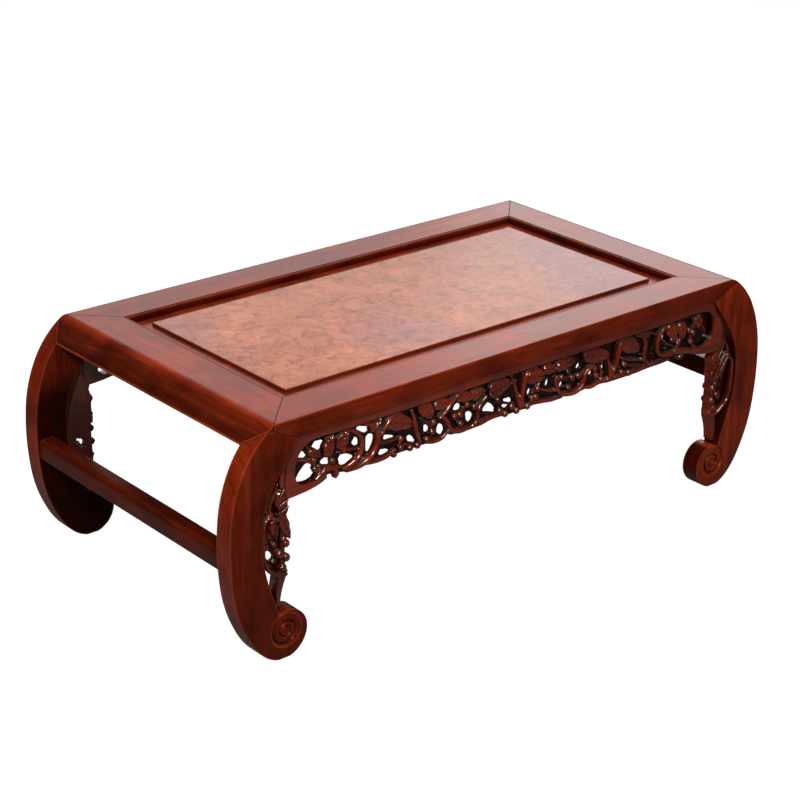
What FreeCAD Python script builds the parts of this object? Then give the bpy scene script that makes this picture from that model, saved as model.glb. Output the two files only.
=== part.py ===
import FreeCAD, Part
import math
import os
from FreeCAD import Vector

os.makedirs("parts", exist_ok=True)

# A low table for a heated platform. Each end is one sweep of wood: the frame rolls over into
# flat bowed legs that stand on scroll feet. Open vine aprons run along both long sides.
# Origin: centre of the footprint on the floor. X runs along the length, Z is up. Millimetres.

# Whole table
LENGTH = 923.0
DEPTH = 450.8
HEIGHT = 310.0

# Top frame
LONG_RAIL_WIDTH = 61.4
RAIL_HEIGHT = 26.0
RAIL_ARRIS = 2.0
CORNER_ROLL = 7.9
BEAD_WIDTH = 3.2
BEAD_HEIGHT = 4.0
BEAD_SINK = 0.7
BEAD_MIDDLE_SHARES = (0.24, 0.4)
QUIRK_WIDTH = 1.0
QUIRK_DEPTH = 1.2
RAIL_TENON_LENGTH = 22.0
RAIL_TENON_WIDTH = 14.0
RAIL_TENON_THICK = 6.5
RAIL_TENON_SET = 34.0
RAIL_TENON_DROP = 11.0

# Sweep of the ends: how far the bulge stands out past the flat of the top, and its curve
BULGE_REACH = 71.5
OUTER_REACH_SHARES = (0.28, 0.56, 0.83, 0.973, 1.0, 0.964, 0.865, 0.61, 0.29)
OUTER_HEIGHT_SHARES = (0.968, 0.9, 0.782, 0.645, 0.548, 0.379, 0.258, 0.121, 0.029)

# Legs
LEG_THICK = 27.0
LEG_WIDTH = 46.5
LEG_SWEEP = 55.0
INNER_SWEEP_SHARES = (0.345, 0.255, 0.145, 0.045, 0.0, 0.0, 0.073, 0.255, 0.527, 0.773, 1.0)
INNER_HEIGHT_SHARES = (0.079, 0.141, 0.222, 0.325, 0.423, 0.535, 0.647, 0.75, 0.852, 0.926, 1.0)
SHOULDER_RISE = 19.1
CORNER_TENON = 9.0
CORNER_TENON_COVER = 8.5
CORNER_TENON_OFF_MITRE = 2.0

# Scroll feet: a spiral that loses the same share of its radius in each quarter turn
FOOT_RADIUS = 38.0
FOOT_SET = 80.5
FOOT_FLAT_SINK = 0.8
QUARTER_TURN_SHARE = 0.82
FOOT_QUARTERS = 2.3
VOLUTE_QUARTERS = 6.3
STEPS_PER_QUARTER = 3
VOLUTE_GROOVE_WIDTH = 2.2
VOLUTE_GROOVE_DEPTH = 2.0
VOLUTE_GROOVE_LIP = 0.5
VOLUTE_GROOVE_RUN_IN = 0.5

# Floating panel, burl field and battens
PANEL_SINK = 9.5
PANEL_THICK = 8.0
PANEL_TONGUE_THICK = 4.0
PANEL_TONGUE_DROP = 2.0
PANEL_TONGUE_LENGTH = 6.0
PANEL_SHRINK_GAP = 0.3
BURL_END_BORDER = 20.5
BURL_LONG_BORDER = 23.0
BURL_RISE = 4.5
BURL_EDGE_ROUND = 1.8
BATTEN_WIDTH = 32.0
BATTEN_KEY_NECK = 22.0
BATTEN_KEY_HEAD = 26.0
BATTEN_KEY_HEIGHT = 3.0
BATTEN_TENON_WIDTH = 22.0
BATTEN_TENON_THICK = 4.5
BATTEN_TENON_LENGTH = 10.0
BATTEN_PLACE_SHARE = 0.5

# End stretchers
STRETCHER_HEIGHT = 27.0
STRETCHER_WIDTH = 22.0
STRETCHER_BOTTOM = 131.0
STRETCHER_SET = 3.5
STRETCHER_TOP_ROUND = 8.0
STRETCHER_ARRIS = 2.0
STRETCHER_TENON_WIDTH = 10.0
STRETCHER_TENON_HEIGHT = 15.0
STRETCHER_TENON_LENGTH = 16.0

# Aprons
APRON_HEIGHT = 73.5
APRON_THICK = 14.0
APRON_SET = 2.0
APRON_END_SET = 3.5
APRON_CORNER_ROUND = 4.0
APRON_CORNER_RUN = 66.0
APRON_RISE = 7.5
APRON_RISE_SHARES = ((0.34, 0.2), (0.66, 0.62))
APRON_BORDER = 9.0
APRON_END_BORDER = 17.0
APRON_FIELD_ROUND = 22.0
APRON_FIELD_SINK = 4.0
APRON_TONGUE_THICK = 5.0
APRON_TONGUE_HEIGHT = 6.0
APRON_TONGUE_SHARE = 0.86
APRON_STEM_WIDTH = 5.0
APRON_STEM_SET = 1.2
APRON_LEAF_SET = 0.6
LEAF_VEIN_WIDTH = 1.2
LEAF_VEIN_DEPTH = 1.0
LEAF_VEIN_SHARE = 0.8
BERRY_SIDES = 6
BERRY_DOME = 1.8
BERRY_TOP_SHARE = 0.5

# One side of every leaf from root to tip: shares of its half length and half width
LEAF_SIDE_SHARES = (
    (-1.0, 0.0), (-0.66, 0.72), (-0.3, 0.7), (0.08, 1.0), (0.42, 0.64), (1.0, 0.0),
)

# Openings of the apron: place along the half length, height above the lower edge, half width and
# half height as shares of the half length and of the apron height, then a tilt and the corners
APRON_HOLE_SHARES = (
    (-0.916, 0.361, 0.031, 0.136, 30, 6),
    (-0.660, 0.497, 0.016, 0.163, -10, 6),
    (-0.155, 0.374, 0.026, 0.122, 15, 6),
    (0.877, 0.361, 0.023, 0.163, 10, 6),
    (-0.929, 0.673, 0.018, 0.082, -10, 3),
    (-0.867, 0.755, 0.023, 0.082, 10, 4),
    (-0.836, 0.442, 0.018, 0.082, 0, 4),
    (-0.750, 0.347, 0.034, 0.082, -4, 4),
    (-0.657, 0.810, 0.049, 0.041, 0, 4),
    (-0.582, 0.456, 0.023, 0.082, 0, 3),
    (-0.598, 0.238, 0.023, 0.068, -8, 4),
    (-0.492, 0.320, 0.016, 0.095, 0, 4),
    (-0.424, 0.429, 0.013, 0.095, 0, 3),
    (-0.365, 0.333, 0.013, 0.109, 0, 4),
    (-0.241, 0.374, 0.016, 0.095, 0, 4),
    (-0.072, 0.401, 0.021, 0.082, 0, 4),
    (-0.021, 0.701, 0.018, 0.150, -90, 3),
    (0.036, 0.401, 0.018, 0.122, 0, 4),
    (0.122, 0.442, 0.021, 0.122, 20, 4),
    (0.329, 0.401, 0.016, 0.136, 0, 4),
    (0.391, 0.374, 0.010, 0.122, 0, 3),
    (0.626, 0.456, 0.023, 0.163, 0, 4),
    (0.802, 0.401, 0.018, 0.109, 0, 4),
    (0.911, 0.701, 0.016, 0.136, 10, 4),
)

# Leaves: place, half length and half width as shares of the apron height, and a tilt
APRON_LEAF_SHARES = (
    (-0.771, 0.673, 0.204, 0.095, 70),
    (-0.525, 0.619, 0.286, 0.109, -22),
    (-0.414, 0.687, 0.177, 0.082, -50),
    (-0.088, 0.673, 0.231, 0.095, 12),
    (0.354, 0.673, 0.327, 0.109, -16),
    (0.517, 0.633, 0.259, 0.095, -30),
    (0.730, 0.660, 0.204, 0.095, -62),
)

# Stems: the two ends of each bow and a place halfway along it
APRON_STEM_SHARES = (
    (-0.704, 0.755, -0.675, 0.497, -0.699, 0.211),
    (-0.339, 0.442, -0.272, 0.102, -0.186, 0.415),
    (0.160, 0.510, 0.220, 0.102, 0.303, 0.456),
    (0.665, 0.401, 0.750, 0.211, 0.924, 0.320),
)

# Berries: place, and radius as a share of the apron height
APRON_BERRY_SHARES = (
    (-0.864, 0.306, 0.061),
    (-0.546, 0.102, 0.068),
    (-0.479, 0.116, 0.068),
    (-0.016, 0.129, 0.061),
    (0.034, 0.143, 0.068),
    (0.484, 0.156, 0.068),
    (0.768, 0.211, 0.068),
)

# Carved brackets between legs and aprons
BRACKET_FOOT_GAP = 16.4
BRACKET_WIDTH = 43.0
BRACKET_THICK = 23.0
BRACKET_SET = 1.5
BRACKET_LAP = 1.5

# Inner outline of a bracket from the top to the tip of its tail, then up the back of the tail:
# shares of the width in from the leg, and of the height above the tip
BRACKET_FRONT_SHARES = (
    (0.95, 1.0), (0.9, 0.85), (1.0, 0.66), (0.88, 0.575), (1.0, 0.5), (0.87, 0.42), (0.97, 0.34),
    (0.83, 0.234), (0.58, 0.0),
)
BRACKET_BACK_SHARES = ((0.54, 0.0), (0.47, 0.109), (0.16, 0.3))
BRACKET_HOLE_SHARES = (
    (0.40, 0.715, 0.16, 0.115, -8, 5),
    (0.33, 0.475, 0.16, 0.09, 12, 5),
)

# A leaf that hangs over the upper opening, and the grapes below it: places and sizes as shares of
# the width and of the height, a grape's radius as a share of the width
BRACKET_LEAF_SHARES = ((0.62, 0.74, 0.155, 0.16, -54),)
BRACKET_GRAPE_SHARES = ((0.8, 0.54, 0.14), (0.72, 0.4, 0.14))
BRACKET_RELIEF = 2.4

# Fits, and how far the arcs may stray from a drawn curve
FIT = 0.2
OVERRUN = 5.0
CURVE_TOLERANCE = 0.2

# Worked out from the sizes above
HALF_LENGTH = LENGTH / 2
HALF_DEPTH = DEPTH / 2
INNER_HALF_Y = HALF_DEPTH - LONG_RAIL_WIDTH
FLAT_END_X = HALF_LENGTH - BULGE_REACH
CORNER_X = FLAT_END_X + CORNER_ROLL
MITRE_OFFSET = CORNER_X - HALF_DEPTH
INNER_HALF_X = MITRE_OFFSET + INNER_HALF_Y
RAIL_BOTTOM = HEIGHT - RAIL_HEIGHT
LEG_TOP_X = HALF_LENGTH - LEG_WIDTH - LEG_SWEEP
LEG_INSIDE_Y = HALF_DEPTH - LEG_THICK
FOOT_X = HALF_LENGTH - FOOT_SET
FOOT_Z = FOOT_RADIUS - FOOT_FLAT_SINK
PANEL_TOP = HEIGHT - PANEL_SINK
PANEL_BOTTOM = PANEL_TOP - PANEL_THICK
TONGUE_TOP = PANEL_TOP - PANEL_TONGUE_DROP
TONGUE_BOTTOM = TONGUE_TOP - PANEL_TONGUE_THICK
APRON_HALF = FLAT_END_X - APRON_END_SET
APRON_BOTTOM = RAIL_BOTTOM - APRON_HEIGHT
APRON_FRONT_Y = HALF_DEPTH - APRON_SET
BRACKET_TOP = APRON_BOTTOM + BRACKET_LAP
BRACKET_ROOT_X = HALF_LENGTH - LEG_WIDTH
BRACKET_FRONT_Y = HALF_DEPTH - BRACKET_SET
STRETCHER_OUT_X = HALF_LENGTH - STRETCHER_SET
STRETCHER_IN_X = STRETCHER_OUT_X - STRETCHER_WIDTH


# Drawing helpers: outlines are drawn in the XZ plane, and their second number is a height
def at(x, z):
    return Vector(x, 0, z)


def line(a, b):
    return Part.LineSegment(a, b).toShape()


def smooth(points, start=None, end=None):
    # A smooth curve that runs through the points at an even pace, drawn as arcs that meet in line.
    # Its end directions can be given
    spans = [(b - a).Length for a, b in zip(points, points[1:])]
    places = [sum(spans[:i]) for i in range(len(points))]
    curve = Part.BSplineCurve()
    if start is None:
        curve.interpolate(Points=points, Parameters=places)
    else:
        headings = {"InitialTangent": start.normalize(), "FinalTangent": end.normalize()}
        curve.interpolate(Points=points, Parameters=places, Scale=False, **headings)
    return [piece.toShape() for piece in curve.toBiArcs(CURVE_TOLERANCE)]


def arc(a, middle, b):
    return Part.Arc(a, middle, b).toShape()


def quarter_arc(a, b, corner, radius):
    # A quarter round from a to b that fills towards the corner that it rounds off
    centre = a + b - corner
    middle = centre + (corner - centre).normalize() * radius
    return arc(a, middle, b)


def prism(edges, y_low, thick):
    face = Part.Face(Part.Wire(edges))
    face.translate(Vector(0, y_low, 0))
    return face.extrude(Vector(0, thick, 0))


def chain(points):
    return [line(a, b) for a, b in zip(points, points[1:] + points[:1])]


def block(low, high):
    size = high - low
    return Part.makeBox(size.x, size.y, size.z, low)


def mirror_x(shape):
    return shape.mirror(Vector(0, 0, 0), Vector(1, 0, 0))


def mirror_y(shape):
    return shape.mirror(Vector(0, 0, 0), Vector(0, 1, 0))


def mirror_edges(edges):
    return [mirror_x(edge) for edge in edges]


def both_ends(shape):
    return [shape, mirror_x(shape)]


def four_corners(shape):
    return both_ends(shape) + both_ends(mirror_y(shape))


def one_solid(shape):
    clean = shape.removeSplitter()
    return clean.Solids[0] if len(clean.Solids) == 1 else clean


# The sweep of an end
def volute_point(quarters, inset=0.0):
    radius = FOOT_RADIUS * QUARTER_TURN_SHARE ** quarters - inset
    turn = quarters * math.pi / 2
    return at(FOOT_X - radius * math.sin(turn), FOOT_Z - radius * math.cos(turn))


def spiral_steps(first, last):
    steps = round((last - first) * STEPS_PER_QUARTER)
    return [first + (last - first) * i / steps for i in range(steps + 1)]


def foot_heading():
    # The spiral's own direction at the sole, so that the back of the leg runs into it smoothly
    return Vector(-math.pi / 2, 0, -math.log(QUARTER_TURN_SHARE))


def outer_edge():
    points = [at(FLAT_END_X, HEIGHT)]
    for reach, rise in zip(OUTER_REACH_SHARES, OUTER_HEIGHT_SHARES):
        points.append(at(FLAT_END_X + BULGE_REACH * reach, HEIGHT * rise))
    points.append(volute_point(0))
    return smooth(points, Vector(1, 0, 0), foot_heading())


def foot_edge():
    return smooth([volute_point(q) for q in spiral_steps(0, FOOT_QUARTERS)])


def inner_edge():
    notch = volute_point(FOOT_QUARTERS)
    points = [notch]
    for sweep, rise in zip(INNER_SWEEP_SHARES, INNER_HEIGHT_SHARES):
        x = HALF_LENGTH - LEG_WIDTH - LEG_SWEEP * sweep
        points.append(at(x, notch.z + (RAIL_BOTTOM - notch.z) * rise))
    return smooth(points)


def end_envelope():
    # Everything inside the curve of both ends, over the whole depth
    right = outer_edge()
    sole = volute_point(0)
    edges = [line(at(-FLAT_END_X, HEIGHT), at(FLAT_END_X, HEIGHT))]
    edges += right + [line(sole, at(-sole.x, sole.z))] + mirror_edges(right[::-1])
    return prism(edges, -HALF_DEPTH, DEPTH)


# Legs
def shoulder_height(x):
    return RAIL_BOTTOM + SHOULDER_RISE * (x - LEG_TOP_X) / (CORNER_X - LEG_TOP_X)


def below_shoulders():
    # The two sloping planes on which both rails meet a leg
    far = HALF_LENGTH + OVERRUN
    front = chain([at(0, 0), at(far, 0), at(far, shoulder_height(far)), at(0, shoulder_height(0))])
    front_part = prism(front, -HALF_DEPTH, DEPTH)
    slope = SHOULDER_RISE / LEG_THICK
    points = [
        Vector(0, -HALF_DEPTH, 0),
        Vector(0, 0, 0),
        Vector(0, 0, RAIL_BOTTOM - slope * LEG_INSIDE_Y),
        Vector(0, -HALF_DEPTH, RAIL_BOTTOM + SHOULDER_RISE),
    ]
    end_part = Part.Face(Part.Wire(chain(points))).extrude(Vector(far, 0, 0))
    return front_part.common(end_part)


def corner_tenons(grow):
    # One stub into each rail, clear of the mitre between them
    half = CORNER_TENON / 2
    y = HALF_DEPTH - LEG_THICK / 2
    step = CORNER_TENON + CORNER_TENON_OFF_MITRE
    top = HEIGHT - CORNER_TENON_COVER + grow
    tenons = []
    for side in (-1, 1):
        x = MITRE_OFFSET + y + side * step
        low = Vector(x - half - grow, -y - half - grow, RAIL_BOTTOM - OVERRUN)
        tenons.append(block(low, Vector(x + half + grow, -y + half + grow, top)))
    return tenons


def stretcher_tenon(grow):
    x = (STRETCHER_OUT_X + STRETCHER_IN_X) / 2
    z = STRETCHER_BOTTOM + STRETCHER_HEIGHT / 2
    half_x = STRETCHER_TENON_WIDTH / 2 + grow
    half_z = STRETCHER_TENON_HEIGHT / 2 + grow
    reach = LEG_INSIDE_Y + STRETCHER_TENON_LENGTH + grow
    return block(Vector(x - half_x, -reach, z - half_z), Vector(x + half_x, reach, z + half_z))


def volute_groove():
    # Carries the foot's own spiral on over the face. It starts as a point just outside the
    # outline, before the notch, and opens to its full width
    start = FOOT_QUARTERS - VOLUTE_GROOVE_RUN_IN / 2
    outer, inner = [], []
    for q in spiral_steps(start, VOLUTE_QUARTERS):
        opened = min((q - start) / VOLUTE_GROOVE_RUN_IN, 1.0)
        width = (VOLUTE_GROOVE_WIDTH + VOLUTE_GROOVE_LIP) * opened
        outer.append(volute_point(q, -VOLUTE_GROOVE_LIP))
        inner.append(volute_point(q, width - VOLUTE_GROOVE_LIP))
    edges = smooth(outer) + [line(outer[-1], inner[-1])] + smooth(inner)[::-1]
    return prism(edges, -HALF_DEPTH - OVERRUN, OVERRUN + VOLUTE_GROOVE_DEPTH)


def front_right_leg():
    edges = outer_edge() + foot_edge() + inner_edge()
    edges.append(line(at(LEG_TOP_X, RAIL_BOTTOM), at(LEG_TOP_X, HEIGHT)))
    edges.append(line(at(LEG_TOP_X, HEIGHT), at(FLAT_END_X, HEIGHT)))
    blank = prism(edges, -HALF_DEPTH, LEG_THICK)
    leg = blank.common(below_shoulders())
    leg = leg.fuse([blank.common(tenon) for tenon in corner_tenons(0)])
    leg = leg.cut([volute_groove(), stretcher_tenon(FIT)])
    return one_solid(leg)


# Top frame
def rail_section(width, round_outside):
    # First number: distance out from the inner edge of the frame. Second: height
    inside = [
        at(BEAD_WIDTH + 2 * QUIRK_WIDTH, HEIGHT),
        at(BEAD_WIDTH + QUIRK_WIDTH, HEIGHT - QUIRK_DEPTH),
        at(BEAD_WIDTH, HEIGHT - BEAD_SINK),
    ]
    bead_foot = at(0, HEIGHT - BEAD_HEIGHT)
    bead_out, bead_down = BEAD_MIDDLE_SHARES
    bead_middle = at(BEAD_WIDTH * bead_out, HEIGHT - BEAD_HEIGHT * bead_down)
    groove_low = TONGUE_BOTTOM - FIT
    groove_high = TONGUE_TOP + FIT
    groove_end = PANEL_TONGUE_LENGTH + 2 * PANEL_SHRINK_GAP
    below = [
        bead_foot,
        at(0, groove_high),
        at(groove_end, groove_high),
        at(groove_end, groove_low),
        at(0, groove_low),
        at(0, RAIL_BOTTOM),
    ]
    edges = [line(a, b) for a, b in zip(inside, inside[1:])]
    edges.append(arc(inside[-1], bead_middle, bead_foot))
    edges += [line(a, b) for a, b in zip(below, below[1:])]
    if round_outside:
        r = RAIL_ARRIS
        low_in, low_out = at(width - r, RAIL_BOTTOM), at(width, RAIL_BOTTOM + r)
        high_out, high_in = at(width, HEIGHT - r), at(width - r, HEIGHT)
        edges.append(line(below[-1], low_in))
        edges.append(quarter_arc(low_in, low_out, at(width, RAIL_BOTTOM), r))
        edges.append(line(low_out, high_out))
        edges.append(quarter_arc(high_out, high_in, at(width, HEIGHT), r))
        edges.append(line(high_in, inside[0]))
    else:
        corners = [below[-1], at(width, RAIL_BOTTOM), at(width, HEIGHT), inside[0]]
        edges += [line(a, b) for a, b in zip(corners, corners[1:])]
    return Part.Face(Part.Wire(edges))


def mitre_block(long_side):
    # The part of the plan that belongs to the front rail, or to the right end rail
    far = HALF_DEPTH + OVERRUN
    if long_side:
        near = INNER_HALF_Y - OVERRUN
        plan = [
            Vector(-MITRE_OFFSET - far, -far, 0),
            Vector(MITRE_OFFSET + far, -far, 0),
            Vector(MITRE_OFFSET + near, -near, 0),
            Vector(-MITRE_OFFSET - near, -near, 0),
        ]
    else:
        end = HALF_LENGTH + OVERRUN
        plan = [
            Vector(MITRE_OFFSET, 0, 0),
            Vector(MITRE_OFFSET + far, -far, 0),
            Vector(end, -far, 0),
            Vector(end, far, 0),
            Vector(MITRE_OFFSET + far, far, 0),
        ]
    return Part.Face(Part.Wire(chain(plan))).extrude(Vector(0, 0, HEIGHT + OVERRUN))


def rail_tenon(grow):
    y = HALF_DEPTH - RAIL_TENON_SET
    x = MITRE_OFFSET + y
    half = RAIL_TENON_WIDTH / 2 + grow
    top = HEIGHT - RAIL_TENON_DROP
    low = Vector(x - RAIL_TENON_WIDTH, -y - half, top - RAIL_TENON_THICK - grow)
    return block(low, Vector(x + RAIL_TENON_LENGTH + grow, -y + half, top + grow))


def apron_tongue(grow):
    # Tongue of the front apron, which stands up into the front rail
    y = -APRON_FRONT_Y + APRON_THICK / 2
    half = APRON_TONGUE_THICK / 2 + grow
    reach = APRON_HALF * APRON_TONGUE_SHARE + grow
    top = RAIL_BOTTOM + APRON_TONGUE_HEIGHT + grow
    return block(Vector(-reach, y - half, RAIL_BOTTOM), Vector(reach, y + half, top))


def batten_places():
    step = INNER_HALF_X * BATTEN_PLACE_SHARE
    return {"left_batten": -step, "middle_batten": 0.0, "right_batten": step}


def batten_tenon(x, grow):
    half = BATTEN_TENON_WIDTH / 2 + grow
    reach = INNER_HALF_Y + BATTEN_TENON_LENGTH + grow
    middle = (RAIL_BOTTOM + PANEL_BOTTOM) / 2
    half_z = BATTEN_TENON_THICK / 2 + grow
    return block(Vector(x - half, -reach, middle - half_z), Vector(x + half, reach, middle + half_z))


def front_rail(legs):
    section = rail_section(LONG_RAIL_WIDTH, True)
    section.rotate(Vector(0, 0, 0), Vector(0, 0, 1), -90)
    section.translate(Vector(-HALF_LENGTH, -INNER_HALF_Y, 0))
    rail = section.extrude(Vector(LENGTH, 0, 0))
    rail = rail.common(mitre_block(True)).common(end_envelope())
    rail = rail.fuse(both_ends(rail_tenon(0)))
    cuts = [apron_tongue(FIT)] + [batten_tenon(x, FIT) for x in batten_places().values()]
    for tenon in corner_tenons(FIT):
        cuts += both_ends(tenon)
    return one_solid(rail.cut(legs + cuts))


def right_end_rail(legs):
    section = rail_section(HALF_LENGTH - INNER_HALF_X, False)
    section.translate(Vector(INNER_HALF_X, -HALF_DEPTH, 0))
    rail = section.extrude(Vector(0, DEPTH, 0))
    rail = rail.common(mitre_block(False)).common(end_envelope())
    cuts = [rail_tenon(FIT), mirror_y(rail_tenon(FIT))]
    for tenon in corner_tenons(FIT):
        cuts += [tenon, mirror_y(tenon)]
    return one_solid(rail.cut(legs + cuts))


# Panel
def batten_key(x, grow):
    neck, head = BATTEN_KEY_NECK / 2 + grow, BATTEN_KEY_HEAD / 2 + grow
    top = PANEL_BOTTOM + BATTEN_KEY_HEIGHT + grow
    outline = [
        at(x - neck, PANEL_BOTTOM),
        at(x + neck, PANEL_BOTTOM),
        at(x + head, top),
        at(x - head, top),
    ]
    reach = INNER_HALF_Y - PANEL_SHRINK_GAP
    return prism(chain(outline), -reach, 2 * reach)


def panel_board():
    x, y = INNER_HALF_X - PANEL_SHRINK_GAP, INNER_HALF_Y - PANEL_SHRINK_GAP
    board = block(Vector(-x, -y, PANEL_BOTTOM), Vector(x, y, PANEL_TOP))
    tx, ty = x + PANEL_TONGUE_LENGTH, y + PANEL_TONGUE_LENGTH
    tongue = block(Vector(-tx, -ty, TONGUE_BOTTOM), Vector(tx, ty, TONGUE_TOP))
    keys = [batten_key(place, FIT) for place in batten_places().values()]
    return one_solid(board.fuse(tongue).cut(keys))


def burl_panel():
    x, y = INNER_HALF_X - BURL_END_BORDER, INNER_HALF_Y - BURL_LONG_BORDER
    slab = block(Vector(-x, -y, PANEL_TOP), Vector(x, y, PANEL_TOP + BURL_RISE))
    top_edges = [e for e in slab.Edges if e.BoundBox.ZMin > PANEL_TOP + BURL_RISE / 2]
    return slab.makeFillet(BURL_EDGE_ROUND, top_edges)


def batten(x):
    half = BATTEN_WIDTH / 2
    y = INNER_HALF_Y - PANEL_SHRINK_GAP
    body = block(Vector(x - half, -y, RAIL_BOTTOM), Vector(x + half, y, PANEL_BOTTOM))
    return one_solid(body.fuse([batten_key(x, 0), batten_tenon(x, 0)]))


# Stretchers
def right_stretcher():
    left, right = STRETCHER_IN_X, STRETCHER_OUT_X
    low, high = STRETCHER_BOTTOM, STRETCHER_BOTTOM + STRETCHER_HEIGHT
    corners = [at(left, low), at(right, low), at(right, high), at(left, high)]
    rounds = [STRETCHER_ARRIS, STRETCHER_ARRIS, STRETCHER_TOP_ROUND, STRETCHER_ARRIS]
    starts, ends, edges = [], [], []
    for i, (corner, r) in enumerate(zip(corners, rounds)):
        before, after = corners[i - 1], corners[(i + 1) % len(corners)]
        starts.append(corner + (before - corner).normalize() * r)
        ends.append(corner + (after - corner).normalize() * r)
    for i, (corner, r) in enumerate(zip(corners, rounds)):
        edges.append(quarter_arc(starts[i], ends[i], corner, r))
        edges.append(line(ends[i], starts[(i + 1) % len(corners)]))
    bar = prism(edges, -LEG_INSIDE_Y, 2 * LEG_INSIDE_Y)
    return one_solid(bar.fuse(stretcher_tenon(0)))


# Carved shapes: each is drawn flat and then given a depth
def turned(x, z, tilt):
    # A small plan's own axes, tilted and set at its place
    c, s = math.cos(math.radians(tilt)), math.sin(math.radians(tilt))
    return lambda along, across: at(x + along * c - across * s, z + along * s + across * c)


def opening(x, z, half_x, half_z, tilt, corners):
    # A straight cut hole with as many corners as asked
    spot = turned(x, z, tilt)
    turns = [2 * math.pi * i / corners for i in range(corners)]
    outline = [spot(half_x * math.cos(turn), half_z * math.sin(turn)) for turn in turns]
    return prism(chain(outline), -HALF_DEPTH, LEG_THICK)


def leaf(x, z, half_long, half_wide, tilt, front, back):
    # A lobed blade with a vein down the middle
    spot = turned(x, z, tilt)
    side = [(half_long * along, half_wide * across) for along, across in LEAF_SIDE_SHARES]
    outline = [spot(*place) for place in side]
    outline += [spot(along, -across) for along, across in side[-2:0:-1]]
    blade = prism(chain(outline), front, back - front)
    run, half = half_long * LEAF_VEIN_SHARE, LEAF_VEIN_WIDTH / 2
    groove = chain([spot(-run, -half), spot(run, -half), spot(run, half), spot(-run, half)])
    return blade.cut(prism(groove, front - OVERRUN, OVERRUN + LEAF_VEIN_DEPTH))


def stem(start, middle, end, width, front, back):
    # A bowed band, drawn as two arcs about one centre
    centre = arc(start, middle, end).Curve.Center
    outer, inner = [], []
    for point in (start, middle, end):
        away = (point - centre).normalize() * (width / 2)
        outer.append(point + away)
        inner.append(point - away)
    edges = [arc(*outer), line(outer[-1], inner[-1]), arc(*inner[::-1]), line(inner[0], outer[0])]
    return prism(edges, front, back - front)


def berry(x, z, radius, front, back):
    # A knob cut with a knife: a peg of a few flats whose end is drawn in
    turns = [2 * math.pi * i / BERRY_SIDES for i in range(BERRY_SIDES)]
    rings = []
    for y, r in ((back, radius), (front + BERRY_DOME, radius), (front, radius * BERRY_TOP_SHARE)):
        rings.append([Vector(x + r * math.cos(t), y, z + r * math.sin(t)) for t in turns])
    faces = [Part.Face(Part.Wire(chain(ring))) for ring in (rings[0], rings[-1])]
    for low, high in zip(rings, rings[1:]):
        for i in range(BERRY_SIDES):
            faces.append(Part.Face(Part.Wire(chain([low[i - 1], low[i], high[i], high[i - 1]]))))
    return Part.makeSolid(Part.makeShell(faces))


# Aprons
def apron_outline():
    # One half, from the middle of the top edge round to the middle of the lower edge
    r = APRON_CORNER_ROUND
    low = APRON_BOTTOM
    plain = low + APRON_RISE
    corner = at(APRON_HALF, low)
    round_top, round_end = at(APRON_HALF, low + r), at(APRON_HALF - r, low)
    run = APRON_CORNER_RUN - r
    sweep = [round_end]
    sweep += [at(round_end.x - run * s, low + APRON_RISE * t) for s, t in APRON_RISE_SHARES]
    sweep.append(at(round_end.x - run, plain))
    edges = [
        line(at(0, RAIL_BOTTOM), at(APRON_HALF, RAIL_BOTTOM)),
        line(at(APRON_HALF, RAIL_BOTTOM), round_top),
        quarter_arc(round_top, round_end, corner, r),
    ]
    edges += smooth(sweep, Vector(-1, 0, 0), Vector(-1, 0, 0))
    return edges + [line(sweep[-1], at(0, plain)), line(at(0, plain), at(0, RAIL_BOTTOM))]


def apron_field():
    # One half of the sunk ground, inside the border
    r = APRON_FIELD_ROUND
    top = RAIL_BOTTOM - APRON_BORDER
    end = APRON_HALF - APRON_END_BORDER
    sill = APRON_BOTTOM + APRON_BORDER
    foot = APRON_HALF - APRON_CORNER_RUN
    round_low = r / 2
    return [
        line(at(0, top), at(end - r, top)),
        quarter_arc(at(end - r, top), at(end, top - r), at(end, top), r),
        line(at(end, top - r), at(end, sill + round_low)),
        quarter_arc(at(end, sill + round_low), at(end - round_low, sill), at(end, sill), round_low),
        line(at(end - round_low, sill), at(foot, sill + APRON_BORDER)),
        line(at(foot, sill + APRON_BORDER), at(foot - APRON_BORDER, APRON_BOTTOM)),
        line(at(foot - APRON_BORDER, APRON_BOTTOM), at(0, APRON_BOTTOM)),
        line(at(0, APRON_BOTTOM), at(0, top)),
    ]


def on_apron(along, up):
    return at(APRON_HALF * along, APRON_BOTTOM + APRON_HEIGHT * up)


def apron_holes():
    holes = []
    for along, up, wide, high, tilt, corners in APRON_HOLE_SHARES:
        spot = on_apron(along, up)
        size = APRON_HALF * wide, APRON_HEIGHT * high
        holes.append(opening(spot.x, spot.z, *size, tilt, corners))
    return holes


def apron_vine():
    # Leaves, stems and berries that stand forward of the sheet and are rooted in the middle of it
    front = -APRON_FRONT_Y
    root = front + APRON_THICK / 2
    vine = []
    for along, up, half_long, half_wide, tilt in APRON_LEAF_SHARES:
        spot = on_apron(along, up)
        size = APRON_HEIGHT * half_long, APRON_HEIGHT * half_wide
        vine.append(leaf(spot.x, spot.z, *size, tilt, front + APRON_LEAF_SET, root))
    for share in APRON_STEM_SHARES:
        spots = [on_apron(*share[i:i + 2]) for i in range(0, len(share), 2)]
        vine.append(stem(*spots, APRON_STEM_WIDTH, front + APRON_STEM_SET, root))
    for along, up, radius in APRON_BERRY_SHARES:
        spot = on_apron(along, up)
        vine.append(berry(spot.x, spot.z, APRON_HEIGHT * radius, front, root))
    return vine


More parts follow.
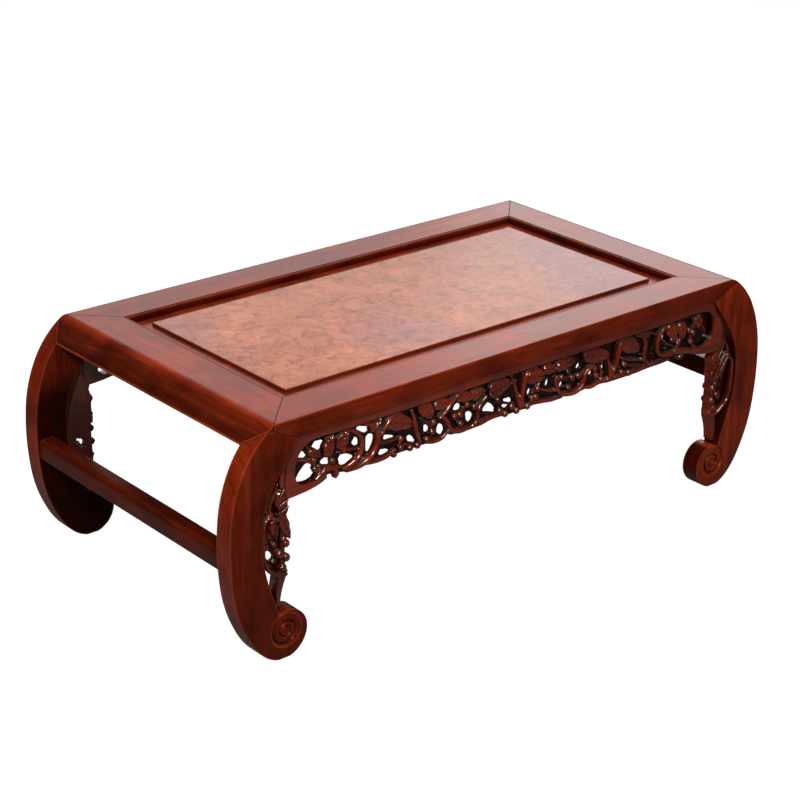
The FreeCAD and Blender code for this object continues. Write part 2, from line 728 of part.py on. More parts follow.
def front_apron(legs):
    whole = prism(apron_outline(), -APRON_FRONT_Y, APRON_THICK)
    sunk = prism(apron_field(), -APRON_FRONT_Y, APRON_THICK)
    border = whole.cut(sunk)
    front = -APRON_FRONT_Y + APRON_FIELD_SINK
    sheet = prism(apron_outline(), front, APRON_THICK - APRON_FIELD_SINK)
    half = border.fuse(sheet)
    pierced = half.fuse(mirror_x(half)).cut(apron_holes())
    apron = pierced.fuse(apron_vine() + [apron_tongue(0)])
    return one_solid(apron.cut(legs))


# Brackets
def front_right_bracket(leg, apron):
    tip = volute_point(FOOT_QUARTERS).z + BRACKET_FOOT_GAP
    height = BRACKET_TOP - tip
    front = -BRACKET_FRONT_Y
    face, root = front + BRACKET_RELIEF, front + BRACKET_THICK / 2

    def place(inward, up):
        return at(BRACKET_ROOT_X - BRACKET_WIDTH * inward, tip + height * up)

    inner = [place(*share) for share in BRACKET_FRONT_SHARES]
    back = [place(*share) for share in BRACKET_BACK_SHARES]
    outside = [place(-OVERRUN / BRACKET_WIDTH, share) for share in (BRACKET_BACK_SHARES[-1][1], 1)]
    edges = smooth(inner) + [line(inner[-1], back[0])] + smooth(back)
    edges += [line(back[-1], outside[0]), line(outside[0], outside[1]), line(outside[1], inner[0])]
    body = prism(edges, face, BRACKET_THICK - BRACKET_RELIEF)
    holes, carving = [], []
    for inward, up, wide, high, tilt, corners in BRACKET_HOLE_SHARES:
        spot = place(inward, up)
        holes.append(opening(spot.x, spot.z, BRACKET_WIDTH * wide, height * high, tilt, corners))
    for inward, up, half_long, half_wide, tilt in BRACKET_LEAF_SHARES:
        spot = place(inward, up)
        size = height * half_long, BRACKET_WIDTH * half_wide
        carving.append(leaf(spot.x, spot.z, *size, tilt, front, root))
    for inward, up, radius in BRACKET_GRAPE_SHARES:
        spot = place(inward, up)
        carving.append(berry(spot.x, spot.z, BRACKET_WIDTH * radius, front, root))
    return one_solid(body.cut(holes).fuse(carving).cut([leg, apron]))


def build():
    leg = front_right_leg()
    legs = dict(zip(
        ("front_right_leg", "front_left_leg", "back_right_leg", "back_left_leg"),
        four_corners(leg),
    ))
    every_leg = list(legs.values())
    apron = front_apron(every_leg)
    bracket = front_right_bracket(leg, apron)
    brackets = dict(zip(
        ("front_right_bracket", "front_left_bracket", "back_right_bracket", "back_left_bracket"),
        four_corners(bracket),
    ))
    rail = front_rail(every_leg)
    end_rail = right_end_rail(every_leg)
    stretcher = right_stretcher()
    nodes = {
        "front_rail": rail,
        "back_rail": mirror_y(rail),
        "right_end_rail": end_rail,
        "left_end_rail": mirror_x(end_rail),
        "panel_board": panel_board(),
        "burl_panel": burl_panel(),
        "right_stretcher": stretcher,
        "left_stretcher": mirror_x(stretcher),
        "front_apron": apron,
        "back_apron": mirror_y(apron),
    }
    for name, place in batten_places().items():
        nodes[name] = batten(place)
    nodes.update(legs)
    nodes.update(brackets)
    return nodes


for name, shape in build().items():
    box = shape.BoundBox
    print(name, len(shape.Solids), "solid", round(shape.Volume), "mm3", shape.isValid(),
          [round(v, 1) for v in (box.XMin, box.YMin, box.ZMin, box.XMax, box.YMax, box.ZMax)])
    shape.exportStep("parts/" + name + ".step")
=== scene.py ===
import math

import bmesh
import bpy
from mathutils import Matrix, Vector


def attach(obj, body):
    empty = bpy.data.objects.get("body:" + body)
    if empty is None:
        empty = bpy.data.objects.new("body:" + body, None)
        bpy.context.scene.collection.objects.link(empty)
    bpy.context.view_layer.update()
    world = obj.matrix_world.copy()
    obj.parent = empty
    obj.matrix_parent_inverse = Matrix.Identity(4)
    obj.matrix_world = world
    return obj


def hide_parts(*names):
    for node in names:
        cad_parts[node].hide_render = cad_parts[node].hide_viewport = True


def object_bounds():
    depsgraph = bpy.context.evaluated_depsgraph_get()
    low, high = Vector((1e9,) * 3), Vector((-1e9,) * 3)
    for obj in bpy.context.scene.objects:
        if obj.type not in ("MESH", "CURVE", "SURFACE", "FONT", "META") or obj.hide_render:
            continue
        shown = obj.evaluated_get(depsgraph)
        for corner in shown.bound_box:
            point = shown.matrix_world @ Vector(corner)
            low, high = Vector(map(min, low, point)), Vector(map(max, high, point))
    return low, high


bl_info = {
    "name": "Carved kang table",
    "version": (1, 0, 0),
    "blender": (4, 5, 0),
    "location": "3D View > Sidebar > Kang table",
    "description": "Lacquered finish and vine carving for a low scroll-foot table",
    "category": "Add Mesh",
}

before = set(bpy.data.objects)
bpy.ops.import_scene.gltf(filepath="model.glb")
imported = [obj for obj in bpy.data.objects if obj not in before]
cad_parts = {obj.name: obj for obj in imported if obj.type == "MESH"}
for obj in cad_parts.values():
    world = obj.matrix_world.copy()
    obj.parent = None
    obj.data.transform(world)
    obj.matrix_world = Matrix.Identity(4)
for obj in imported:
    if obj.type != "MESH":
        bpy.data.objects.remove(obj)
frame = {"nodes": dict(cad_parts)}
CAD_LOW, CAD_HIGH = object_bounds()
MM = 0.001


# Sizes and colours that a user may change
class TableSizes(bpy.types.PropertyGroup):
    arris: bpy.props.FloatProperty(
        name="Arris", description="Softened edge of the rails and legs",
        default=1.3 * MM, unit="LENGTH")
    joint: bpy.props.FloatProperty(
        name="Joint line", description="Half width of the dark line where two pieces meet",
        default=0.5 * MM, unit="LENGTH")
    berry: bpy.props.FloatProperty(
        name="Berry", description="Radius of a berry in the aprons",
        default=4.6 * MM, unit="LENGTH")


class TableColours(bpy.types.PropertyGroup):
    lacquer: bpy.props.FloatVectorProperty(
        name="Lacquer", description="Red-brown of the rails", subtype="COLOR",
        default=(0.142, 0.0132, 0.0026))
    lacquer_dark: bpy.props.FloatVectorProperty(
        name="Dark lacquer", description="Darker grain of the rails", subtype="COLOR",
        default=(0.075, 0.0075, 0.0022))
    lacquer_light: bpy.props.FloatVectorProperty(
        name="Light lacquer", description="Orange grain of the rails", subtype="COLOR",
        default=(0.26, 0.036, 0.0075))
    burl: bpy.props.FloatVectorProperty(
        name="Burl", description="Main colour of the burl", subtype="COLOR",
        default=(0.262, 0.080, 0.038))
    burl_dark: bpy.props.FloatVectorProperty(
        name="Burl eyes", description="Eyes and knots of the burl", subtype="COLOR",
        default=(0.24, 0.050, 0.018))
    floor: bpy.props.FloatVectorProperty(
        name="Floor", description="Plain floor", subtype="COLOR", default=(0.15, 0.15, 0.15))


def sizes():
    return bpy.context.scene.table_sizes


def colours():
    return bpy.context.scene.table_colours


# Working helpers
def deselect():
    for obj in bpy.context.selected_objects:
        obj.select_set(False)


def activate(obj):
    deselect()
    obj.select_set(True)
    bpy.context.view_layer.objects.active = obj


def edit(obj, *steps):
    activate(obj)
    bpy.ops.object.mode_set(mode="EDIT")
    bpy.ops.mesh.select_all(action="SELECT")
    for step in steps:
        step()
    bpy.ops.object.mode_set(mode="OBJECT")


def apply_all(obj):
    activate(obj)
    for modifier in list(obj.modifiers):
        bpy.ops.object.modifier_apply(modifier=modifier.name)


def smooth(obj, degrees=38):
    activate(obj)
    bpy.ops.object.shade_smooth_by_angle(angle=math.radians(degrees))


def outward(obj):
    edit(obj, lambda: bpy.ops.mesh.normals_make_consistent(inside=False))


def to_mesh(obj):
    activate(obj)
    bpy.ops.object.convert(target="MESH")


def new_piece(name, data):
    obj = bpy.data.objects.new(name, data)
    bpy.context.scene.collection.objects.link(obj)
    return obj


def joined(parts):
    activate(parts[0])
    for part in parts:
        part.select_set(True)
    bpy.ops.object.join()
    return parts[0]


def place_in_mesh(obj):
    activate(obj)
    bpy.ops.object.transform_apply(location=True, rotation=True, scale=True)


def mirrored(obj, name, across):
    # A copy on the other side, turned right side out again
    other = new_piece(name, obj.data.copy())
    other.scale = tuple(-1 if axis in across else 1 for axis in "XYZ")
    place_in_mesh(other)
    if len(across) == 1:
        outward(other)
    return other


def cut_out(obj, tool):
    # Takes the tool's shape out of a piece
    opening = obj.modifiers.new("Opening", "BOOLEAN")
    opening.operation = "DIFFERENCE"
    opening.object = tool
    apply_all(obj)
    bpy.data.objects.remove(tool)


def paint(mesh, material):
    mesh.materials.clear()
    mesh.materials.append(material)


def seat(obj, material, slot, *nodes):
    paint(obj.data, material)
    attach(obj, "root")
    if nodes:
        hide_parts(*nodes)


# Softened copies of the frame's pieces. Only edges sharper than this are rounded
REAL_EDGE = math.radians(33)


def copied(node, name):
    obj = new_piece(name, frame["nodes"][node].data.copy())
    activate(obj)
    bpy.ops.mesh.customdata_custom_splitnormals_clear()
    edit(
        obj,
        lambda: bpy.ops.mesh.remove_doubles(threshold=0.01 * MM),
        lambda: bpy.ops.mesh.dissolve_limited(angle_limit=math.radians(0.4)),
    )
    return obj


def soften(obj, weight_of):
    # Rounds each real edge by its own share of the arris
    bm = bmesh.new()
    bm.from_mesh(obj.data)
    layers = bm.edges.layers.float
    layer = layers.get("bevel_weight_edge") or layers.new("bevel_weight_edge")
    for edge in bm.edges:
        if len(edge.link_faces) == 2 and edge.calc_face_angle() > REAL_EDGE:
            edge[layer] = weight_of((edge.verts[0].co + edge.verts[1].co) / 2)
    bm.to_mesh(obj.data)
    bm.free()
    bevel = obj.modifiers.new("Arris", "BEVEL")
    bevel.limit_method = "WEIGHT"
    bevel.width = sizes().arris
    bevel.segments = 3
    bevel.miter_outer = "MITER_ARC"
    normals = obj.modifiers.new("Normals", "WEIGHTED_NORMAL")
    normals.keep_sharp = True
    smooth(obj)
    apply_all(obj)


# Finishes
WHITE = EVEN = (1.0, 1.0, 1.0)
JOINT_DARK = (0.008, 0.004, 0.003)
DUST = (0.060, 0.045, 0.031)
BURL_SIDE = (0.060, 0.010, 0.004)
# Polish of the carving, with full painted shade in its hollows
CARVED = {"rough": (0.13, 0.24), "ior": 1.5, "tint": (1.0, 0.72, 0.64), "recess": 1.0, "carved": True}


class Finish:
    """One material, with short ways to wire its nodes"""

    def __init__(self, name):
        self.material = bpy.data.materials.new(name)
        self.material.use_nodes = True
        self.nodes, self.links = self.material.node_tree.nodes, self.material.node_tree.links
        self.nodes.clear()
        out = self.nodes.new("ShaderNodeOutputMaterial")
        self.shader = self.nodes.new("ShaderNodeBsdfPrincipled")
        self.links.new(self.shader.outputs["BSDF"], out.inputs["Surface"])

    def feed(self, socket, value):
        # Numbers and colours are typed in, and outputs of other nodes are linked
        if isinstance(value, tuple):
            socket.default_value = (*value, 1.0) if socket.type == "RGBA" else value
        elif isinstance(value, (int, float)):
            socket.default_value = value
        else:
            self.links.new(value, socket)

    def set(self, name, value):
        self.feed(self.shader.inputs[name], value)

    def place(self):
        return self.nodes.new("ShaderNodeTexCoord").outputs["Object"]

    def normal(self):
        return self.nodes.new("ShaderNodeNewGeometry").outputs["Normal"]

    def part(self, vector, axis):
        node = self.nodes.new("ShaderNodeSeparateXYZ")
        self.feed(node.inputs["Vector"], vector)
        return node.outputs[axis]

    def worked(self, kind, operation, output, values):
        node = self.nodes.new(kind)
        node.operation = operation
        for socket, value in zip(node.inputs, values):
            self.feed(socket, value)
        return node.outputs[output]

    def math(self, operation, *values):
        return self.worked("ShaderNodeMath", operation, "Value", values)

    def vector(self, operation, *values):
        return self.worked("ShaderNodeVectorMath", operation, "Vector", values)

    def measure(self, operation, *values):
        return self.worked("ShaderNodeVectorMath", operation, "Value", values)

    def most(self, values):
        total = values[0]
        for value in values[1:]:
            total = self.math("MAXIMUM", total, value)
        return total

    def span(self, value, low, high, to_low=0.0, to_high=1.0, kind="LINEAR"):
        node = self.nodes.new("ShaderNodeMapRange")
        node.interpolation_type = kind
        sockets = ("Value", "From Min", "From Max", "To Min", "To Max")
        for name, number in zip(sockets, (value, low, high, to_low, to_high)):
            self.feed(node.inputs[name], number)
        return node.outputs["Result"]

    def noise(self, scale, size, detail, roughness, distortion, offset=(0.0, 0.0, 0.0)):
        # Noise in the piece's own coordinates, drawn out along its grain
        mapping = self.nodes.new("ShaderNodeMapping")
        noise = self.nodes.new("ShaderNodeTexNoise")
        for node, name, value in (
                (mapping, "Vector", self.place()), (mapping, "Scale", scale), (mapping, "Location", offset),
                (noise, "Vector", mapping.outputs["Vector"]), (noise, "Scale", size),
                (noise, "Detail", detail), (noise, "Roughness", roughness),
                (noise, "Distortion", distortion)):
            self.feed(node.inputs[name], value)
        return noise.outputs["Fac"]

    def ramp(self, value, *stops):
        node = self.nodes.new("ShaderNodeValToRGB")
        elements = node.color_ramp.elements
        while len(elements) < len(stops):
            elements.new(0.5)
        for element, (at, colour) in zip(elements, stops):
            element.position = at
            element.color = (*colour, 1.0)
        self.feed(node.inputs["Fac"], value)
        return node.outputs["Color"]

    def blend(self, kind, amount, a, b):
        node = self.nodes.new("ShaderNodeMix")
        node.data_type = "RGBA"
        node.blend_type = kind
        for i, value in ((0, amount), (6, a), (7, b)):
            self.feed(node.inputs[i], value)
        return node.outputs[2]

    def hollow(self, reach, inside=False):
        # Low in hollows within the reach in millimetres, and from inside near thin edges
        node = self.nodes.new("ShaderNodeAmbientOcclusion")
        node.inside = inside
        node.samples = 8
        node.inputs["Distance"].default_value = reach * MM
        return node.outputs["AO"]

    def bumps(self, *layers):
        # Fine relief: pairs of a height and its depth in millimetres
        normal = None
        for value, distance in layers:
            node = self.nodes.new("ShaderNodeBump")
            node.inputs["Distance"].default_value = distance * MM
            node.inputs["Strength"].default_value = 0.6
            self.feed(node.inputs["Height"], value)
            if normal:
                self.feed(node.inputs["Normal"], normal)
            normal = node.outputs["Normal"]
        self.set("Normal", normal)


# How narrow the figure is along each axis, by the direction of the grain
AXIS_SCALES = {"X": (1.0, 14.0, 14.0), "Y": (14.0, 1.0, 14.0), "Z": (14.0, 14.0, 1.0)}

# Planes where pieces meet, for positive x, y and z: direction and distance
MITRE_OFFSET = 172.5 * MM
DIAGONAL = 0.5 ** 0.5
MITRE = ((DIAGONAL, -DIAGONAL, 0.0), MITRE_OFFSET * DIAGONAL)
FRONT_SHOULDER = ((-0.45004, 0.0, 0.89301), 0.091601)
END_SHOULDER = ((0.0, -0.57751, 0.81638), 0.117273)


def seam_lines(f, planes):
    # Fine dark lines along the joints
    folded = f.vector("ABSOLUTE", f.place())
    return f.most([
        f.math("COMPARE", f.measure("DOT_PRODUCT", folded, normal), distance, sizes().joint)
        for normal, distance in planes])


def dust(f, hollow):
    # Grey dust on the faces that look up inside the hollows
    up = f.span(f.part(f.normal(), "Z"), 0.15, 0.8)
    return f.math("MULTIPLY", up, f.span(hollow, 0.75, 0.35))


def painted_depth_shade(f):
    # Painted shade: darkens the ground behind the vine by its depth below the face of an apron
    side = f.math("ABSOLUTE", f.part(f.place(), "Y"))
    depth = f.span(side, -APRON_FACE - APRON_THICK * MM, -APRON_FACE)
    return f.ramp(
        depth, (0.10, (0.8, 0.8, 0.8)), (0.20, (0.05, 0.04, 0.04)), (0.46, (0.07, 0.06, 0.06)),
        (0.84, WHITE))


def height_shade(f, low, high, darkest):
    # Darker towards the bottom of a span of heights, in millimetres
    return f.ramp(f.span(f.part(f.place(), "Z"), low * MM, high * MM), (0.0, (darkest,) * 3), (1.0, WHITE))


def painted_inside_shade(f, top):
    # Painted shade beneath the top: one on upright faces that look to the middle of the table from over
    # 0.13 m off, up to a height
    level = f.vector("MULTIPLY", f.normal(), (1.0, 1.0, 0.0))
    share = f.span(f.measure("DOT_PRODUCT", f.place(), level), -0.06, -0.13)
    return f.math("MULTIPLY", share, f.span(f.part(f.place(), "Z"), (top + 30) * MM, top * MM))


def steep(f, none, full):
    # Grows from nothing to full as the surface turns away from straight up
    return f.span(f.part(f.normal(), "Z"), none, full)


def worn_and_highlit_arrises(f, patches, most):
    # Strongest on the arrises, where hands have worn the dark lacquer thin; it also stands in as a painted
    # highlight along the arrises
    thin = f.span(f.hollow(2.6, inside=True), 0.92, 0.55)
    return f.math("MULTIPLY", thin, f.span(patches, 0.0, 1.0, 0.0, 2 * most))


def lacquered(name, grain="X", dim=1.0, recess=0.0, seed=0.0, rough=(0.22, 0.36), ior=1.45,
              tint=(1.0, 0.20, 0.08), seams=(), carved=False, shade_by_depth=False, fade=None, arris_wear_and_highlight=0.0,
              inside_shade=1.0, inside_shade_top=400, slope=1.0):
    """Worn satin lacquer over red-brown wood, with the grain along one axis, and optional painted shade in
    hollows, deep in the aprons and on inside faces, and painted highlights on the arrises
    """
    if name in bpy.data.materials:
        return bpy.data.materials[name]
    f = Finish(name)
    light, plain, dark = (
        tuple(v * dim for v in colour)
        for colour in (colours().lacquer_light, colours().lacquer, colours().lacquer_dark))
    stretch = AXIS_SCALES[grain]
    offset = (seed, seed * 0.7, seed * 1.3)
    figure = f.noise(stretch, 3.2, 8.0, 0.62, 0.9, offset)
    base = f.ramp(figure, (0.28, dark), (0.46, plain), (0.58, plain), (0.76, light))
    fine = f.noise(tuple(v * 9 for v in stretch), 2.0, 3.0, 0.6, 0.0, offset)
    base = f.blend("MULTIPLY", 0.6, base, f.ramp(fine, (0.36, (0.45, 0.40, 0.38)), (0.54, WHITE)))
    patches = f.noise(EVEN, 11.0, 5.0, 0.6, 0.4, offset)
    shade = f.ramp(patches, (0.36, (0.42, 0.36, 0.34)), (0.60, (1.15, 1.12, 1.10)))
    base = f.blend("MULTIPLY", 0.85, base, shade)
    if fade:
        base = f.blend("MULTIPLY", 1.0, base, height_shade(f, *fade))
    if slope < 1.0:
        base = f.blend("MULTIPLY", steep(f, 0.985, 0.8), base, (slope,) * 3)
    # Painted shade on the faces that look in to the middle of the table
    if inside_shade < 1.0:
        base = f.blend("MULTIPLY", painted_inside_shade(f, inside_shade_top), base, (inside_shade,) * 3)
    # Worn lacquer and painted highlight on the arrises
    if arris_wear_and_highlight:
        base = f.blend("MIX", worn_and_highlit_arrises(f, patches, arris_wear_and_highlight), base, tuple(colours().lacquer_light))
    # Painted shade: the colour darkens in hollows by ambient occlusion, and in carving the reflection fades
    # with it
    if recess:
        hollow = f.hollow(12 if carved else 9)
        shadow = f.ramp(hollow, (0.38 if carved else 0.30, (0.06, 0.05, 0.05)), (0.88, WHITE))
        base = f.blend("MULTIPLY", recess, base, shadow)
        # Painted shade deep in the aprons, on the colour and on the reflection
        if shade_by_depth:
            depth_shade = painted_depth_shade(f)
            base = f.blend("MULTIPLY", 1.0, base, depth_shade)
            shadow = f.blend("MULTIPLY", 1.0, shadow, depth_shade)
        if carved:
            base = f.blend("MIX", dust(f, hollow), base, DUST)
            f.set("Specular IOR Level", f.span(shadow, 0.0, 1.0, 0.05, 0.5))
    if seams:
        lines = seam_lines(f, seams)
        base = f.blend("MIX", lines, base, JOINT_DARK)
        f.set("Specular IOR Level", f.span(lines, 0.0, 1.0, 0.5, 0.0))
    f.set("Base Color", base)
    f.set("Roughness", f.span(patches, 0.0, 1.0, *rough))
    f.set("IOR", ior)
    f.set("Specular Tint", tint)
    if carved:
        f.set("Coat Weight", 0.45)
        f.set("Coat Roughness", 0.12)
    f.bumps((fine, 0.02), (f.noise(EVEN, 13.0, 1.0, 0.5, 0.0, offset), 0.5))
    return f.material


# Knots and cracks of the burl: place on the top and reach, in millimetres
KNOTS = (
    (-250, 42, 9), (15, 38, 8), (250, -47, 9), (200, 20, 8), (-190, 60, 8), (-105, 22, 20), (-82, 34, 16),
    (-150, 78, 14), (215, 66, 12), (90, -60, 9),
)


def near_spots(f, spots):
    # One close to the listed places, and zero past their reach
    shares = []
    for x, y, reach in spots:
        away = f.measure("DISTANCE", f.place(), (x * MM, y * MM, CAD_HIGH.z))
        shares.append(f.span(away, reach * MM, 0.0, kind="SMOOTHSTEP"))
    return f.most(shares)


def burl_finish():
    """Polished burl: cloudy orange figure with small dark eyes, knots and cracks"""
    f = Finish("burl_polish")
    cloud = f.noise((1.0, 1.3, 1.0), 12.0, 9.0, 0.62, 0.8)
    base = f.ramp(cloud, *(
        (at, tuple(v * share for v in colours().burl))
        for at, share in ((0.30, 0.72), (0.46, 0.92), (0.58, 1.0), (0.74, 1.25))))
    drift = f.noise(EVEN, 4.2, 4.0, 0.5, 0.4, (0.55, 0.2, 0.0))
    base = f.blend("MULTIPLY", 0.9, base, f.ramp(drift, (0.44, WHITE), (0.62, (0.72, 0.85, 1.7))))
    swirl = f.noise(EVEN, 48.0, 9.0, 0.74, 1.2, (3.1, 1.7, 0.0))
    mottle = f.ramp(swirl, (0.34, (0.42, 0.26, 0.24)), (0.50, WHITE), (0.64, (1.28, 1.45, 1.5)))
    base = f.blend("MULTIPLY", 1.0, base, mottle)
    grain = f.noise(EVEN, 330.0, 4.0, 0.62, 0.3, (0.0, 5.2, 0.0))
    base = f.blend("MULTIPLY", 0.7, base, f.ramp(grain, (0.30, (0.50, 0.38, 0.34)), (0.42, WHITE)))
    rifts = f.nodes.new("ShaderNodeTexNoise")
    rifts.noise_type = "RIDGED_MULTIFRACTAL"
    for name, value in (("Vector", f.place()), ("Scale", 70.0), ("Detail", 3.0), ("Distortion", 1.4)):
        f.feed(rifts.inputs[name], value)
    crack = f.math("MULTIPLY", f.span(rifts.outputs["Fac"], 0.75, 1.25), near_spots(f, KNOTS))
    base = f.blend("MIX", crack, base, tuple(v * 0.16 for v in colours().burl_dark))
    f.set("Base Color", f.blend("MIX", steep(f, 0.95, 0.6), base, BURL_SIDE))
    f.set("Roughness", f.span(swirl, 0.0, 1.0, 0.22, 0.42))
    f.set("IOR", 1.42)
    f.set("Specular Tint", (1.0, 0.8, 0.7))
    f.bumps((swirl, 0.12), (cloud, 0.5))
    return f.material


# Top frame: node, direction of the grain, shoulder over the legs and seed of its figure
RAILS = (
    ("front_rail", "X", FRONT_SHOULDER, 0.0), ("back_rail", "X", FRONT_SHOULDER, 4.0),
    ("left_end_rail", "Y", END_SHOULDER, 9.0), ("right_end_rail", "Y", END_SHOULDER, 13.0),
)
# Darker towards the bottom and on the slopes, by the grain's direction: span and darkest share of the fade,
# and share left on slopes
RAIL_SHADES = {"X": ((280, 300, 0.8), 0.95), "Y": ((286, 306, 0.4), 0.4)}
# Joint with a leg: past this x and y, and below this z
LEG_JOINT = Vector((356, 195, 304)) * MM


def rail_weight(p):
    # Mitres and the joints with the legs stay almost sharp
    if abs(abs(p.x) - abs(p.y) - MITRE_OFFSET) < 0.6 * MM:
        return 0.3
    if abs(p.x) > LEG_JOINT.x and abs(p.y) > LEG_JOINT.y and p.z < LEG_JOINT.z:
        return 0.25
    return 1.0


class KANG_OT_top_frame(bpy.types.Operator):
    """Softens the four mitred rails of the top and gives them their lacquer"""
    bl_idname = "kang.top_frame"
    bl_label = "Top frame"

    def execute(self, context):
        for node, grain, shoulder, seed in RAILS:
            obj = copied(node, node + "_wood")
            soften(obj, rail_weight)
            fade, slope = RAIL_SHADES[grain]
            finish = lacquered(
                "lacquer_" + node, grain, recess=0.75, seed=seed, seams=(MITRE, shoulder), fade=fade,
                arris_wear_and_highlight=0.3, inside_shade=0.45, slope=slope)
            seat(obj, finish, "frame_wood", node)
        return {"FINISHED"}


# Panel
class KANG_OT_panel(bpy.types.Operator):
    """Finishes the floating panel, its battens and the burl field"""
    bl_idname = "kang.panel"
    bl_label = "Panel and burl"

    def execute(self, context):
        nodes = frame["nodes"]
        paint(nodes["panel_board"].data, lacquered("lacquer_board", "X", dim=0.9, recess=0.5, seed=21.0))
        for node in ("left_batten", "middle_batten", "right_batten"):
            paint(nodes[node].data, lacquered("lacquer_battens", "Y", dim=0.6, seed=27.0))
        obj = copied("burl_panel", "burl_slab")
        smooth(obj, 30)
        seat(obj, burl_finish(), "burl", "burl_panel")
        return {"FINISHED"}


# Legs: painted light and shade, as how bright the lacquer of each is
LEG_PAINTED_LIGHT = {"front_left_leg": 0.66, "front_right_leg": 1.4, "back_left_leg": 0.6, "back_right_leg": 0.7}
SHOULDER_FOOT = 283 * MM

# Rolled end of a foot: centre, first radius of the spiral, what a quarter turn leaves of it, and the
# radius and thickness of the round face
SCROLL = (381.0, 37.2)
SCROLL_RADIUS = 38.0
SCROLL_SHARE = 0.82
SCROLL_REACH = 22.5
SCROLL_THICK = 5.5
# Its relief: width and depth of the groove, depth of the roll, radius and depth of the eye
GROOVE_WIDE, GROOVE_DEEP, ROLL_DEEP = 1.35, 1.9, 2.6
EYE_RADIUS, EYE_DEEP = 4.6, 0.9
# Carved crowns stay this far behind the face of their piece
SET_BACK = 0.15


def scroll(face):
    # A round face whose ridge winds in to the eye, sunk between turns
    rings, spokes = 46, 96
    bm = bmesh.new()
    rows = []
    for i in range(rings + 1):
        r = SCROLL_REACH * max(i / rings, 0.004)
        row = []
        for j in range(spokes):
            turn = 2 * math.pi * j / spokes
            quarters = math.log(r / SCROLL_RADIUS) / math.log(SCROLL_SHARE)
            u = ((quarters - turn * 2 / math.pi) / 4) % 1.0
            gap = r * (1 - SCROLL_SHARE ** 4) / SCROLL_SHARE ** 2
            valley = math.exp(-(min(u, 1 - u) * gap / GROOVE_WIDE) ** 2)
            roll = (1 - (1 - (2 * u - 1) ** 2) ** 0.5) * min(1.0, gap / 12)
            rim = min(1.0, max(0.0, (SCROLL_REACH - r) / 4))
            eye = math.exp(-(r / EYE_RADIUS) ** 4)
            ridge = (GROOVE_DEEP * valley + ROLL_DEEP * roll * rim) * (1 - eye)
            depth = SET_BACK + ridge + EYE_DEEP * eye * (r / EYE_RADIUS) ** 2
            x = SCROLL[0] - r * math.sin(turn)
            z = SCROLL[1] - r * math.cos(turn)
            row.append(bm.verts.new((x * MM, face + depth * MM, z * MM)))
        rows.append(row)
    back = [bm.verts.new((v.co.x, face + SCROLL_THICK * MM, v.co.z)) for v in rows[-1]]
    rows.append(back)
    for low, high in zip(rows, rows[1:]):
        for j in range(spokes):
            bm.faces.new((low[j - 1], low[j], high[j], high[j - 1]))
    bm.faces.new(rows[0])
    bm.faces.new(back)
    bmesh.ops.recalc_face_normals(bm, faces=bm.faces)
    mesh = bpy.data.meshes.new("scroll")
    bm.to_mesh(mesh)
    bm.free()
    obj = new_piece("scroll", mesh)
    smooth(obj, 50)
    return obj


def sink_scroll(leg, x_side, y_side):
    # A round recess that takes the rolled end
    bpy.ops.mesh.primitive_cylinder_add(
        vertices=96, radius=SCROLL_REACH * MM, depth=12 * MM, rotation=(math.radians(90), 0, 0),
        location=(x_side * SCROLL[0] * MM, y_side * CAD_HIGH.y, SCROLL[1] * MM))
    cut_out(leg, bpy.context.object)
    smooth(leg)


class KANG_OT_legs(bpy.types.Operator):
    """Softens the four scroll legs and lets in the rolled ends of their feet"""
    bl_idname = "kang.legs"
    bl_label = "Scroll legs"

    def execute(self, context):
        first = scroll(CAD_LOW.y)
        for i, (node, dim) in enumerate(LEG_PAINTED_LIGHT.items()):
            obj = copied(node, node + "_wood")
            soften(obj, lambda p: 0.25 if p.z > SHOULDER_FOOT else 1.0)
            x_side, y_side = (1 if "right" in node else -1), (1 if "back" in node else -1)
            sink_scroll(obj, x_side, y_side)
            finish = lacquered(
                "lacquer_" + node, "Z", dim, recess=0.3, seed=31.0 + 7 * i, ior=1.36,
                seams=(FRONT_SHOULDER, END_SHOULDER), fade=(10, 130, 0.65), arris_wear_and_highlight=0.4, inside_shade=0.15,
                inside_shade_top=215)
            across = ("X" if x_side < 0 else "") + ("Y" if y_side > 0 else "")
            rolled = mirrored(first, node.replace("leg", "scroll"), across)
            seat(rolled, finish, "leg_wood")
            seat(obj, finish, "leg_wood", node)
        bpy.data.objects.remove(first)
        return {"FINISHED"}


class KANG_OT_stretchers(bpy.types.Operator):
    """Gives the end stretchers their worn lacquer, with painted highlights on the arrises"""
    bl_idname = "kang.stretchers"
    bl_label = "Stretchers"

    def execute(self, context):
        for i, node in enumerate(("left_stretcher", "right_stretcher")):
            obj = copied(node, node + "_wood")
            smooth(obj, 30)
            finish = lacquered("lacquer_" + node, "Y", dim=0.24, seed=61.0 + 5 * i, ior=1.36, arris_wear_and_highlight=0.25)
            seat(obj, finish, "stretcher_wood", node)
        return {"FINISHED"}


